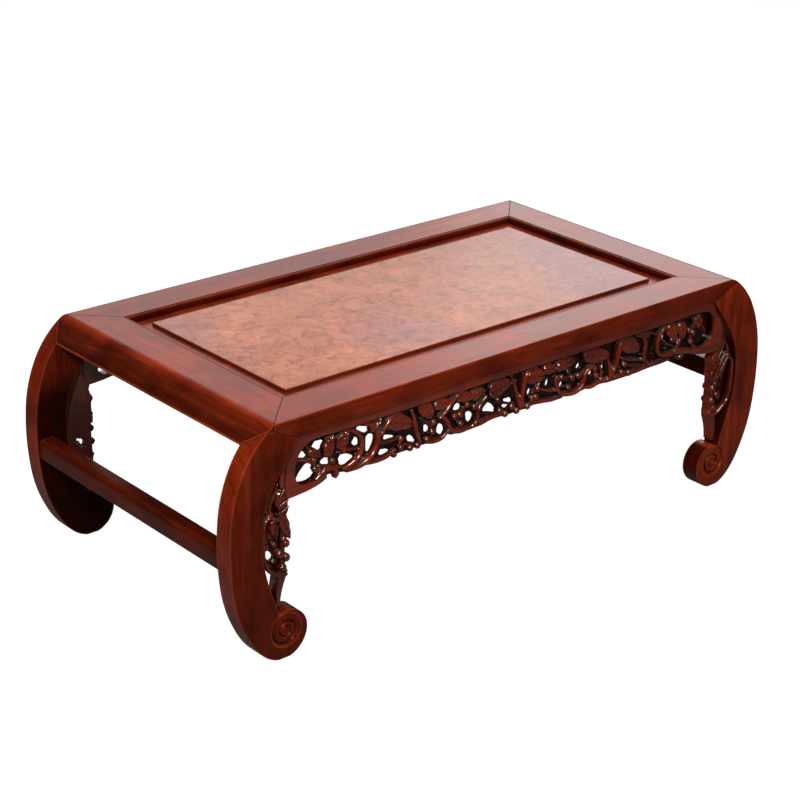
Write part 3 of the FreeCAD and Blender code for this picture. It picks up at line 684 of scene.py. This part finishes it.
# Carving tools: flat drawings in millimetres on the face of a board, with a depth behind it
def drawn(loops, face, near, far):
    # Fills closed outlines; a point with a third value is a corner
    bpy.ops.curve.primitive_bezier_circle_add()
    obj = bpy.context.object
    data = obj.data
    data.dimensions = "2D"
    data.fill_mode = "BOTH"
    data.resolution_u = 4
    data.splines.clear()
    for loop in loops:
        spline = data.splines.new("BEZIER")
        spline.bezier_points.add(len(loop) - 1)
        spline.use_cyclic_u = True
        for knot, point in zip(spline.bezier_points, loop):
            knot.co = (point[0] * MM, point[1] * MM, 0)
            kind = "VECTOR" if len(point) > 2 else "AUTO"
            knot.handle_left_type = knot.handle_right_type = kind
    data.extrude = (far - near) / 2 * MM
    obj.rotation_euler = (math.radians(90), 0, 0)
    obj.location = (0, face + (near + far) / 2 * MM, 0)
    to_mesh(obj)
    place_in_mesh(obj)
    edit(obj, lambda: bpy.ops.mesh.remove_doubles(threshold=0.02 * MM))
    outward(obj)
    return obj


def bare_rods(detail):
    # A curve that holds no run yet. Its runs become round rods of their own radius
    bpy.ops.curve.primitive_bezier_curve_add()
    obj = bpy.context.object
    obj.data.dimensions = "3D"
    obj.data.bevel_depth = MM
    obj.data.bevel_resolution = detail
    obj.data.use_fill_caps = True
    obj.data.splines.clear()
    return obj


def stems(runs, face, deepen=1.7):
    # Round stems along their runs, then stretched back towards the ground
    obj = bare_rods(2)
    obj.data.resolution_u = 5
    for radius, depth, run in runs:
        spline = obj.data.splines.new("BEZIER")
        last = len(run) - 1
        spline.bezier_points.add(last)
        for i, (knot, (x, z)) in enumerate(zip(spline.bezier_points, run)):
            knot.co = (x * MM, (depth + radius) * MM, z * MM)
            knot.handle_left_type = knot.handle_right_type = "AUTO"
            knot.radius = radius * (0.85 if i in (0, last) else 1.15)
    to_mesh(obj)
    for vertex in obj.data.vertices:
        vertex.co.y = face + vertex.co.y * deepen
    outward(obj)
    return obj


def pegs(rows, face):
    # Straight rods through the thickness: radius, place, near and far end
    obj = bare_rods(1)
    for radius, (x, z), *depths in rows:
        spline = obj.data.splines.new("POLY")
        spline.points.add(1)
        for point, depth in zip(spline.points, depths):
            point.co = (x * MM, face + depth * MM, z * MM, 1)
            point.radius = radius
    to_mesh(obj)
    outward(obj)
    return obj


def stalks(spots, back, face):
    # Pegs from the berries back to the ground
    return pegs([(radius * 0.66, (x, z), depth + radius, back) for x, z, radius, depth in spots], face)


def berries(spots, face):
    # One round berry, copied to each spot with its crown near the face
    bpy.ops.mesh.primitive_ico_sphere_add(subdivisions=2, radius=MM)
    first = bpy.context.object
    copies = []
    for x, z, radius, depth in spots:
        one = new_piece("berry", first.data.copy())
        one.scale = (radius,) * 3
        one.location = (x * MM, face + (depth + radius) * MM, z * MM)
        place_in_mesh(one)
        copies.append(one)
    bpy.data.objects.remove(first)
    fruit = joined(copies)
    smooth(fruit, 60)
    return fruit


# Relief of a leaf in millimetres: the cut along its midrib, its veins and its raised rim
MIDRIB_CUT, VEIN_RISE, RIM_RISE = 1.1, 0.95, 0.9


def leaf(x, z, half_long, half_wide, tilt, face, root, crown=0.3, dome=3.6):
    # A domed leaf with a cut midrib and side veins, rooted in the ground
    bpy.ops.mesh.primitive_grid_add(x_subdivisions=34, y_subdivisions=20, size=2)
    obj = bpy.context.object
    turn = math.radians(tilt)
    for vertex in obj.data.vertices:
        t, s = vertex.co.x, vertex.co.y
        t_in = max(-0.995, min(0.995, t))
        width = half_wide * (1 + t_in) ** 0.45 * (1 - t_in) ** 0.75 * 1.04
        lobe = 1 + 0.06 * math.cos(9 * t + 1)
        along = half_long * t
        across = s * width * lobe + 0.16 * half_wide * (1 - t * t)
        swell = dome * math.sqrt(max(0.0, 1 - s * s)) * (1 - t_in ** 4) ** 0.5
        rib = MIDRIB_CUT * math.exp(-(s / 0.09) ** 2)
        side = min(1.0, abs(s) / 0.25) * (1 - s * s)
        veins = VEIN_RISE * math.cos(2 * math.pi * (2.1 * t - 1.1 * abs(s))) * side
        rim = RIM_RISE * math.exp(-((abs(s) - 0.86) / 0.10) ** 2)
        depth = crown + dome - swell + rib - veins - rim + 0.4
        vertex.co = (
            (x + along * math.cos(turn) - across * math.sin(turn)) * MM,
            face + max(SET_BACK, depth) * MM,
            (z + along * math.sin(turn) + across * math.cos(turn)) * MM,
        )
    low = face + root * MM

    def back_wall():
        bpy.ops.mesh.extrude_region_move(TRANSFORM_OT_translate={"value": (0, root * MM, 0)})
    edit(obj, back_wall)
    for vertex in obj.data.vertices:
        vertex.co.y = min(vertex.co.y, low + 0.2 * MM)
    edit(obj, lambda: bpy.ops.mesh.remove_doubles(threshold=0.01 * MM))
    outward(obj)
    smooth(obj, 60)
    return obj


def round_off(obj, width, segments):
    # Rounds the arrises of a drawn board
    bevel = obj.modifiers.new("Arris", "BEVEL")
    bevel.width = width * MM
    bevel.segments = segments
    bevel.limit_method = "ANGLE"
    bevel.angle_limit = math.radians(50)
    apply_all(obj)
    smooth(obj)
    return obj


def one_mass(parts, voxel, kept=1.0):
    # Grows the drawn parts into one carved mass
    base = joined(parts)
    remesh = base.modifiers.new("Mass", "REMESH")
    remesh.mode = "VOXEL"
    remesh.voxel_size = voxel
    rub = base.modifiers.new("Rub", "SMOOTH")
    rub.factor = 0.5
    rub.iterations = 3
    if kept < 1.0:
        base.modifiers.new("Thin", "DECIMATE").ratio = kept
    apply_all(base)
    for polygon in base.data.polygons:
        polygon.use_smooth = True
    return base


# Aprons
APRON_FACE = -0.2234
APRON_THICK = 14.0
# Depth of the ground behind the vine
GROUND = 8.0
# Outlines on the face: x, z, and a third value at a corner
BORDER = (
    (-318, 219.5, 1), (-327, 215.6), (-341, 212.2), (-358, 210.4), (-376.4, 209.4, 1), (-379.4, 220),
    (-380, 232), (-378.6, 244), (-375.2, 254), (-369.5, 263.5), (-363, 273.5), (-358.6, 283.8, 1),
    (358.6, 283.8, 1), (363, 273.5), (369.5, 263.5), (375.2, 254), (378.6, 244), (380, 232), (379.6, 220),
    (376.4, 209.4, 1), (358, 210), (341, 212.2), (318, 217.8, 1), (318, 223.5, 1), (334, 220.8),
    (350, 222.5), (360, 230), (364.5, 244), (362, 259), (354, 269.5), (340, 274.4), (300, 274.6), (0, 275),
    (-300, 274.6), (-338, 275), (-347, 272.5), (-355, 266.8), (-362, 256.5), (-365.4, 243), (-364.5, 232),
    (-358, 222.5), (-346, 218.8), (-334, 219.4), (-318, 224, 1),
)
# Thin set-back strip between the border and the leg, left end
STRIP = (
    (-366, 213, 1), (-382, 213.5, 1), (-385.2, 225), (-386.1, 238), (-383.4, 248), (-379.2, 254.6),
    (-372.3, 263.2), (-365, 274), (-359.4, 283.8, 1), (-350, 283.8, 1), (-360, 266), (-368, 240),
)
GROUND_EDGE = (
    (-372, 277, 1), (372, 277, 1), (372, 216, 1), (352, 215.5), (330, 216), (305, 217), (285, 215),
    (262, 216.5), (240, 215), (215, 215.5), (190, 214.6), (160, 215.6), (135, 216), (110, 217),
    (85, 214.6), (60, 216), (35, 217.5), (15, 215.5), (-5, 216), (-25, 216), (-45, 219), (-70, 216.5),
    (-95, 215), (-112, 214.5), (-124, 218.5), (-140, 214.6), (-170, 214.6), (-205, 214.5), (-230, 216),
    (-262, 214.8), (-288, 215), (-303, 218), (-322, 218), (-345, 215), (-372, 216, 1),
)
# Openings where light shows through: outlines as seen on the face
OPENINGS = (
    ((-364.5, 232), (-360, 239), (-353, 245.5), (-346, 248.5), (-344.5, 244), (-345.5, 240), (-341, 234),
     (-346, 229), (-357, 226.5), (-363.5, 228)),
    ((-365, 255), (-362, 262), (-358, 266), (-353, 262), (-352, 258.5), (-358, 256.5)),
    ((-343, 264), (-338, 267.5), (-337, 272), (-327, 271), (-328, 263), (-333, 261.5), (-342, 261)),
    ((-329, 244), (-324, 246), (-318, 248.5), (-316, 246), (-318.5, 241), (-320, 237), (-327, 238.5)),
    ((-301, 240), (-298, 243.5), (-288, 242), (-278, 236.5), (-281, 232), (-290, 229.5), (-300, 231.5)),
    ((-281, 254), (-276, 261), (-274, 259.5), (-271.5, 252), (-278, 250.5)),
    ((-276, 272), (-262, 273), (-236, 273), (-237, 268.5), (-244, 267), (-252, 270), (-258, 268),
     (-264, 263.5), (-270, 267.5)),
    ((-259, 256), (-255, 258.5), (-250, 257.5), (-249, 250), (-251, 242), (-256, 235), (-258.5, 237),
     (-257.5, 246)),
    ((-233, 240), (-230, 250), (-226, 249), (-214, 245), (-220, 240.5), (-228, 238.5)),
    ((-239, 227), (-236, 232.5), (-228, 231), (-221, 228), (-223, 222.5), (-232, 224)),
    ((-194.5, 238), (-190, 239), (-187, 236.5), (-183, 230), (-187, 228), (-192, 231)),
    ((-167, 247.5), (-163, 245), (-160, 240), (-163, 236), (-166.5, 237.5)),
    ((-145.5, 235), (-142, 241.5), (-138, 239), (-136, 232), (-140, 226), (-144.5, 229.5)),
    ((-119, 254), (-115, 259.5), (-111, 260), (-108.5, 256), (-112, 252), (-118, 252.5)),
    ((-97.5, 244.5), (-91, 243.5), (-87.5, 239), (-90, 233.5), (-94, 231), (-96.5, 235)),
    ((-69, 238), (-66, 243), (-60, 247.5), (-56, 245), (-50, 238), (-51.5, 230.5), (-60, 231),
     (-68.5, 233.5)),
    ((-35.5, 236), (-33, 244.5), (-23, 244.5), (-20.5, 240), (-26, 236), (-32, 233)),
)
# Straight openings, dark from the side: x, z, half width, half height
SLOTS = (
    (-6, 264, 3.5, 6), (20, 238, 4, 6), (52, 242, 4, 6), (78, 233, 4, 5), (108, 251, 4.5, 4.5),
    (132, 237, 4, 7), (154, 236, 3.5, 8), (185, 234, 4, 5), (221, 246, 3.5, 7), (247, 241, 4.5, 9),
    (270, 251, 3.5, 7), (275, 237, 4.5, 3.5),
)
# Stems: radius, depth of the crown, run
STEMS = (
    (3.0, 0.2, ((-283, 271), (-272, 265), (-264, 256), (-262, 244), (-267, 232), (-278, 225),
        (-292, 222))),
    (3.4, 0.1, ((-262, 272), (-248, 268), (-239, 258), (-237, 247), (-241, 235), (-250, 225), (-264, 219),
        (-286, 217.5))),
    (2.6, 0.0, ((-232, 249), (-226, 259), (-218, 268), (-206, 272))),
    (2.2, 2.0, ((-240, 240), (-228, 237.5), (-212, 237), (-199, 236))),
    (2.8, 0.6, ((-262, 219), (-242, 217.5), (-224, 218.5), (-208, 224))),
    (3.3, 0.4, ((-184, 270), (-180, 256), (-177, 244), (-173, 232), (-168, 221))),
    (2.2, 2.4, ((-200, 229), (-190, 225), (-178, 223))),
    (2.7, 0.0, ((-139, 246), (-130, 252), (-120, 262), (-110, 269), (-98, 272))),
    (2.8, 0.2, ((-138, 248), (-129, 243), (-123, 232), (-116, 223), (-104, 219), (-92, 218.5))),
    (2.5, 0.8, ((-160, 219), (-146, 216.5), (-132, 218.5), (-122, 226))),
    (2.8, 0.2, ((-92, 218.5), (-81, 221), (-75, 229), (-75, 238), (-69, 247), (-58, 255))),
    (3.0, 1.0, ((-90, 218), (-68, 219.5), (-50, 222.5), (-30, 221))),
    (1.8, 2.5, ((-70, 233), (-56, 230), (-42, 226))),
    (2.7, 1.0, ((-20, 273), (-14, 263), (-9, 250), (-5, 238), (-2, 228), (-1, 221))),
    (3.2, 0.0, ((14, 274), (8, 266), (4, 254), (2, 242), (0, 230), (-1, 221))),
    (1.8, 2.5, ((-34, 239), (-22, 234), (-10, 230))),
    (2.8, 1.2, ((18, 222), (36, 221), (54, 218.6), (76, 217))),
    (1.7, 1.0, ((38, 237), (50, 233), (64, 229))),
    (2.7, 0.0, ((61, 250), (63, 240), (67, 229), (75, 222), (88, 218.5), (100, 218.6), (109, 223),
        (113, 231), (115, 240), (122, 245), (134, 248))),
    (1.8, 0.6, ((114, 258), (126, 254.5), (138, 252), (148, 249))),
    (2.4, 1.6, ((140, 248), (145, 240), (147, 230), (150, 221))),
    (2.8, 1.0, ((158, 252), (162, 240), (164, 229), (163, 220))),
    (3.1, 0.0, ((188, 272), (180, 266), (177, 254), (174, 242), (169, 230), (163, 221))),
    (1.9, 1.0, ((186, 243), (200, 238), (216, 234), (228, 229))),
    (1.9, 1.6, ((196, 230), (210, 226), (226, 223))),
    (2.9, 0.2, ((208, 271), (220, 267), (228, 258), (228, 246), (228, 234), (236, 225), (250, 221))),
    (1.7, 0.6, ((224, 271), (238, 267.5), (252, 261))),
    (2.9, 0.0, ((270, 271), (261, 265), (254, 256), (252, 246), (254, 236), (262, 229), (278, 227),
        (294, 227))),
    (1.4, 1.0, ((266, 245), (276, 241), (288, 236))),
    (2.9, 1.0, ((104, 217), (117, 220), (128, 217.6), (142, 220), (160, 218.5), (186, 218), (212, 218),
        (236, 219), (262, 219), (282, 219))),
    (3.2, 0.1, ((293, 225), (305, 226), (318, 221), (334, 218))),
    (3.6, 0.0, ((284, 226), (292, 229), (300, 226), (302, 219), (297, 215.5))),
    (2.2, 1.4, ((-366, 253), (-355, 252), (-345, 248), (-338, 243))),
    (2.4, 1.2, ((-347, 271), (-342, 262), (-338, 252), (-334, 240), (-329, 229))),
    (3.0, 0.0, ((-334, 219), (-324, 226), (-313, 229), (-304, 226), (-301, 219), (-304, 214))),
    (2.3, 1.5, ((-327, 236), (-316, 232), (-303, 229), (-290, 224))),
    (2.0, 2.0, ((-298, 243), (-288, 246), (-276, 243), (-266, 240))),
    (2.2, 2.0, ((-168, 252), (-160, 246), (-152, 240), (-149, 230), (-152, 221))),
    (2.0, 2.5, ((-122, 251), (-112, 246), (-100, 245), (-88, 248))),
    (2.2, 2.0, ((20, 236), (28, 240), (36, 250))),
    (2.0, 2.5, ((68, 244), (80, 240), (95, 240), (106, 236))),
    (2.2, 1.5, ((300, 262), (302, 250), (297, 238), (292, 228))),
    (2.0, 2.0, ((312, 252), (322, 254), (334, 256), (346, 250), (352, 240))),
    (2.4, 1.5, ((322, 246), (321, 236), (326, 226), (336, 221))),
)
# Leaves: x, z, half length, half width, tilt
LEAVES = (
    (-311, 258, 15, 7.5, 76), (-290, 260, 14, 8.5, 60), (-334, 254, 12, 5, -28), (-203, 257, 24, 11, -20),
    (-160, 261, 15, 9.5, -48), (-132, 263, 17, 7.5, -10), (-96, 263, 16, 7, -12), (-74, 262, 13, 7.5, 10),
    (-36, 260, 20, 11, 10), (25, 259, 17, 11, -14), (50, 263, 13, 7.5, -14), (79, 263, 18, 8.5, 4),
    (137, 260, 26, 10, -14), (200, 257, 21, 11, -28), (228, 267, 11, 5, -12), (281, 258, 15, 9.5, -62),
    (300, 256, 14, 8, -70), (333, 261, 11, 6, -28), (-240, 264, 10, 5, 30),
)
# Berries: x, z
BERRIES = (
    (-335, 246), (-333, 234), (-307, 237), (-290, 247), (-201, 236), (-211, 218), (-200, 224), (-185, 219),
    (-173, 219), (-148, 243), (-150, 231), (-158, 222), (-113, 241), (-104, 241), (-103, 229), (-92, 252),
    (-80, 245), (-40, 244), (-36, 228), (-26, 221), (-15, 228), (-6, 220), (4, 226), (13, 221), (20, 230),
    (27, 230), (30, 241), (65, 246), (73, 245), (84, 251), (86, 228), (92, 240), (103, 240), (134, 242),
    (137, 232), (147, 223), (160, 220), (173, 220), (186, 223), (200, 219), (190, 234), (282, 247),
    (295, 238), (296, 226), (316, 252), (324, 247), (321, 234), (334, 268), (334, 256),
)
# Run of the light through the apron, along x and z for each millimetre of depth
LIGHT_DRIFT = (0.87, -0.57)


def slot(x, z, half_x, half_z):
    turns = [2 * math.pi * i / 8 for i in range(8)]
    return [(x + half_x * math.cos(a), z + half_z * math.sin(a)) for a in turns]


def cut(board, outline, face, near, far, lean):
    # Cuts one opening straight through, long enough for the light that comes in at a slant
    bpy.ops.mesh.primitive_cube_add()
    tool = bpy.context.object
    points = [
        ((x + LIGHT_DRIFT[0] * drift) * MM, face + depth * MM, (z + LIGHT_DRIFT[1] * drift) * MM)
        for x, z in outline for drift in ((near, far) if lean else (0.0,)) for depth in (near - 2, far + 2)]
    tool.data.clear_geometry()
    tool.data.from_pydata(points, [], [])
    edit(tool, bpy.ops.mesh.convex_hull)
    cut_out(board, tool)


class KANG_OT_aprons(bpy.types.Operator):
    """Carves the two vine aprons"""
    bl_idname = "kang.aprons"
    bl_label = "Vine aprons"

    def execute(self, context):
        face = APRON_FACE
        border = round_off(drawn([BORDER], face, 0, APRON_THICK), width=2.6, segments=4)
        strips = []
        for side in (1, -1):
            outline = [(side * knot[0], *knot[1:]) for knot in STRIP]
            strips.append(round_off(drawn([outline], face, 1.5, APRON_THICK - 1), width=1.2, segments=3))
        spots = [(x, z, sizes().berry / MM, 0.1) for x, z in BERRIES]
        ground = drawn([GROUND_EDGE], face, GROUND, APRON_THICK - 0.3)
        for outline in OPENINGS:
            cut(ground, outline, face, GROUND, APRON_THICK, lean=True)
        for row in SLOTS:
            cut(ground, slot(*row), face, GROUND, APRON_THICK, lean=False)
        vine = [stems(STEMS, face), stalks(spots, GROUND + 3, face)]
        mass = one_mass([ground] + vine, voxel=1.25 * MM, kept=0.68)
        leaves = [leaf(*row, face, root=GROUND + 2) for row in LEAVES]
        front = joined([mass, border, berries(spots, face)] + strips + leaves)
        front.name = "front_vine_apron"
        back = mirrored(front, "back_vine_apron", "Y")
        finish = lacquered("carving_lacquer", "X", seed=71.0, shade_by_depth=True, **CARVED)
        seat(front, finish, "carved_wood", "front_apron")
        seat(back, finish, "carved_wood", "back_apron")
        return {"FINISHED"}


# Brackets
BRACKET_FACE = -0.2238
BRACKET_THICK = 22.6
# Depths behind that face: ground, wall on the centre side, roots of stalks and leaves
BRACKET_DEPTH, WALL_DEPTH, ROOT_DEPTH = 13, 5.5, 15
BRACKET_GROUND = (
    (386.8, 236, 1), (389, 236, 1), (400.4, 213, 1), (410.6, 184), (414.2, 160), (414.2, 134), (408, 124),
    (396, 115), (386, 109), (380, 109), (380, 150), (380, 190), (384, 212, 1),
)
BRACKET_OPENING = ((386, 129), (390, 126), (397, 131), (401, 140), (397, 143), (390, 137))
# Centre side of a bracket with its foot, down to the scroll
BRACKET_WALL = (
    (386.8, 224, 1), (389, 224, 1), (388, 205), (384, 180), (383, 150), (384, 120), (388.5, 100),
    (391.5, 66.5, 1), (385, 66.5, 1), (383, 82), (379, 96), (375.5, 106), (376.5, 120), (377, 140),
    (376.5, 160), (375, 185), (377, 205),
)
BRACKET_STEMS = (
    (2.5, 0.0, ((392, 186), (398, 191), (405, 190.5), (410, 184), (411.6, 168), (411.4, 150), (409, 134),
        (402, 122), (392, 114), (383, 109.5), (376, 110.5))),
    (2.4, 0.4, ((392, 186), (387, 184), (385, 174))),
    (2.0, 1.5, ((388, 232), (393, 219), (399, 208), (400, 199), (395, 194))),
    (1.8, 3.0, ((403, 207), (405, 201), (402, 196), (398, 198))),
    (2.0, 7.0, ((406, 178), (402, 166), (399, 154), (395, 143))),
    (2.0, 8.0, ((409, 150), (402, 148), (393, 149))),
)
# Leaves: x, z, half length, half width, tilt, depth of the crown
LEFT_LEAVES = (
    (381.5, 207, 17, 9.5, 262, 0.2), (377, 173.5, 20, 6.5, 252, 0.6), (390.5, 173, 14, 6, 262, 3.4),
)
RIGHT_LEAVES = (
    (388, 180, 24, 7.5, 238, 0.2), (379, 190, 14, 6.5, 262, 1.2), (395.5, 168, 13, 5.5, 262, 6.0),
    (383, 210, 14, 8, 250, 1.4),
)
# Raised veins: radius, depth, run
LEFT_VEINS = (
    (0.9, -0.9, ((388.5, 216), (385, 219.5), (381, 224.5))),
    (0.9, -0.9, ((389, 204), (382, 206.5), (375.5, 208.5))),
    (0.9, -0.9, ((389, 194), (382, 197), (374.5, 200))),
    (0.8, 2.6, ((394, 184), (391, 173), (392, 160))),
)
RIGHT_VEINS = (
    (0.9, -0.4, ((400, 198), (390, 183), (380, 165), (376, 157))),
    (0.9, -0.6, ((393, 202), (385, 190), (376, 172), (372, 165))),
    (0.8, 1.0, ((386, 205), (379, 193), (376, 180))),
)
GRAPES = (
    (380, 156.5, 4.6, 0.4), (385.6, 138.2, 5.8, 0.0), (381.4, 119, 5.7, 0.0), (393, 129, 4.2, 5.5),
    (391, 151, 4.4, 5.0),
)
# Fruit and folds that run through the thickness: x, z, radius
RIDGES = (
    (376.5, 150, 5.3), (376, 131, 5.5), (377, 112.5, 4.4), (378, 171, 6.2), (378, 193, 7.2),
)


class KANG_OT_brackets(bpy.types.Operator):
    """Carves the four grape brackets"""
    bl_idname = "kang.brackets"
    bl_label = "Grape brackets"

    def carve(self, rows, lines):
        face = BRACKET_FACE
        mass = one_mass([
            drawn([BRACKET_GROUND, BRACKET_OPENING], face, BRACKET_DEPTH, BRACKET_THICK),
            drawn([BRACKET_WALL], face, WALL_DEPTH, BRACKET_THICK - 0.6),
            stems(BRACKET_STEMS, face, deepen=1.6),
            stalks(GRAPES, ROOT_DEPTH, face),
            pegs([(r, (x, z), 5.2, 20.5) for x, z, r in RIDGES], face),
        ], voxel=0.9 * MM)
        fruit = berries(GRAPES + tuple((x, z, r + 0.2, 0.2) for x, z, r in RIDGES[:2]), face)
        leaves = [leaf(*row[:5], face, ROOT_DEPTH, crown=row[5], dome=4.5) for row in rows]
        veins = stems(lines, face, deepen=1.0)
        smooth(veins, 60)
        return joined([mass, fruit, veins] + leaves)

    def execute(self, context):
        # Painted shade: the back brackets get a copy of the lacquer at half the brightness
        finish, shaded = (
            lacquered("bracket_lacquer" + end, "Z", dim, seed=83.0, **CARVED)
            for end, dim in (("", 0.8), ("_back", 0.4)))
        for side, rows, lines in (("right", RIGHT_LEAVES, RIGHT_VEINS), ("left", LEFT_LEAVES, LEFT_VEINS)):
            first = self.carve(rows, lines)
            across = "X" if side == "left" else ""
            back = mirrored(first, "back_%s_grape_bracket" % side, across + "Y")
            front = mirrored(first, "front_%s_grape_bracket" % side, across)
            bpy.data.objects.remove(first)
            seat(front, finish, "carved_wood", "front_%s_bracket" % side)
            seat(back, shaded, "carved_wood", "back_%s_bracket" % side)
        return {"FINISHED"}


# Stage. The camera's place in metres, directions, lens and sensor, as in the photograph
CAMERA_PLACE = (-1.670859, -1.917402, 1.256618)
CAMERA_RIGHT = (0.7608164, -0.64877093, 0.0159591)
CAMERA_UP = (0.24604465, 0.3111187, 0.91796905)
CAMERA_LENS = 91.41
CAMERA_SENSOR = 36.0
# Lamps: name, place, target, size, watts, spread in degrees, and whether the lacquer mirrors them
LAMPS = (
    ("right_softbox", (2.456, 1.606, 1.5), (0, 0, 0.3), 1.5, 20, 180, True),
    ("back_softbox", (1.486, 2.683, 1.5), (0, 0, 0.3), 1.5, 10, 180, True),
    ("top_softbox", (-0.3, -0.6, 2.6), (-0.1, 0, 0.3), 0.7, 11, 70, True),
    ("key_softbox", (-3.2, 0.6, 0.8), (0, 0, 0.2), 0.9, 5, 40, False),
    ("spark_softbox", (-1.7, -1.9, 1.9), (0, 0, 0.2), 0.6, 7.5, 50, True),
)
# Strengths of the plain background: for the object, and what the camera sees of sky and floor
SKY_LIGHT = 0.07
SKY_SEEN = 1.0
FLOOR_SEEN = 0.97


def soft_light(name, place, target, size, power, spread, mirrored_too):
    data = bpy.data.lights.new(name, "AREA")
    data.spread = math.radians(spread)
    data.shape = "SQUARE"
    data.size = size
    data.energy = power
    obj = new_piece(name, data)
    obj.location = place
    obj.rotation_euler = (Vector(target) - Vector(place)).to_track_quat("-Z", "Y").to_euler()
    obj.visible_glossy = mirrored_too


class KANG_OT_stage(bpy.types.Operator):
    """Sets the camera, the plain floor and the soft light"""
    bl_idname = "kang.stage"
    bl_label = "Stage"

    def execute(self, context):
        scene = context.scene
        deselect()
        bpy.ops.mesh.primitive_plane_add(size=40.0, location=(0, 0, 0))
        floor = bpy.context.object
        floor.name = "floor"
        f = Finish("plain_floor")
        f.set("Base Color", tuple(colours().floor))
        f.set("Roughness", 0.9)
        f.set("Specular IOR Level", 0.1)
        seen = f.nodes.new("ShaderNodeLightPath").outputs["Is Camera Ray"]
        f.set("Emission Color", WHITE)
        f.set("Emission Strength", f.math("MULTIPLY", seen, FLOOR_SEEN))
        floor.data.materials.append(f.material)

        world = bpy.data.worlds.new("studio")
        scene.world = world
        world.use_nodes = True
        nodes, links = world.node_tree.nodes, world.node_tree.links
        sky = nodes["Background"]
        sky.inputs["Color"].default_value = (1, 1, 1, 1)
        rays = nodes.new("ShaderNodeLightPath")
        level = nodes.new("ShaderNodeMapRange")
        level.inputs["To Min"].default_value = SKY_LIGHT
        level.inputs["To Max"].default_value = SKY_SEEN
        links.new(rays.outputs["Is Camera Ray"], level.inputs["Value"])
        links.new(level.outputs["Result"], sky.inputs["Strength"])

        for lamp in LAMPS:
            soft_light(*lamp)

        data = bpy.data.cameras.new("photograph_view")
        data.sensor_width = CAMERA_SENSOR
        data.lens = CAMERA_LENS
        data.clip_start = 0.1
        data.clip_end = 100.0
        camera = new_piece("photograph_view", data)
        right, up = Vector(CAMERA_RIGHT).normalized(), Vector(CAMERA_UP).normalized()
        turn = Matrix((right, up, right.cross(up))).transposed().to_4x4()
        camera.matrix_world = Matrix.Translation(CAMERA_PLACE) @ turn
        scene.camera = camera
        scene.view_settings.view_transform = "Standard"
        return {"FINISHED"}


class KANG_PT_panel(bpy.types.Panel):
    """Lists the steps that dress the table"""
    bl_idname = "KANG_PT_panel"
    bl_label = "Kang table"
    bl_space_type = "VIEW_3D"
    bl_region_type = "UI"
    bl_category = "Kang table"

    def draw(self, context):
        for operator in STEPS:
            self.layout.operator(operator.bl_idname)
        for group in (context.scene.table_sizes, context.scene.table_colours):
            for name in group.bl_rna.properties.keys():
                if name not in ("rna_type", "name"):
                    self.layout.prop(group, name)


STEPS = (
    KANG_OT_top_frame, KANG_OT_panel, KANG_OT_legs, KANG_OT_stretchers,
    KANG_OT_aprons, KANG_OT_brackets, KANG_OT_stage,
)
CLASSES = (TableSizes, TableColours) + STEPS + (KANG_PT_panel,)


def register():
    for cls in CLASSES:
        bpy.utils.register_class(cls)
    bpy.types.Scene.table_sizes = bpy.props.PointerProperty(type=TableSizes)
    bpy.types.Scene.table_colours = bpy.props.PointerProperty(type=TableColours)


def unregister():
    del bpy.types.Scene.table_colours
    del bpy.types.Scene.table_sizes
    for cls in reversed(CLASSES):
        bpy.utils.unregister_class(cls)


def main():
    register()
    deselect()
    for step in (
        bpy.ops.kang.top_frame, bpy.ops.kang.panel, bpy.ops.kang.legs, bpy.ops.kang.stretchers,
        bpy.ops.kang.aprons, bpy.ops.kang.brackets, bpy.ops.kang.stage,
    ):
        step()


if __name__ == "__main__":
    main()
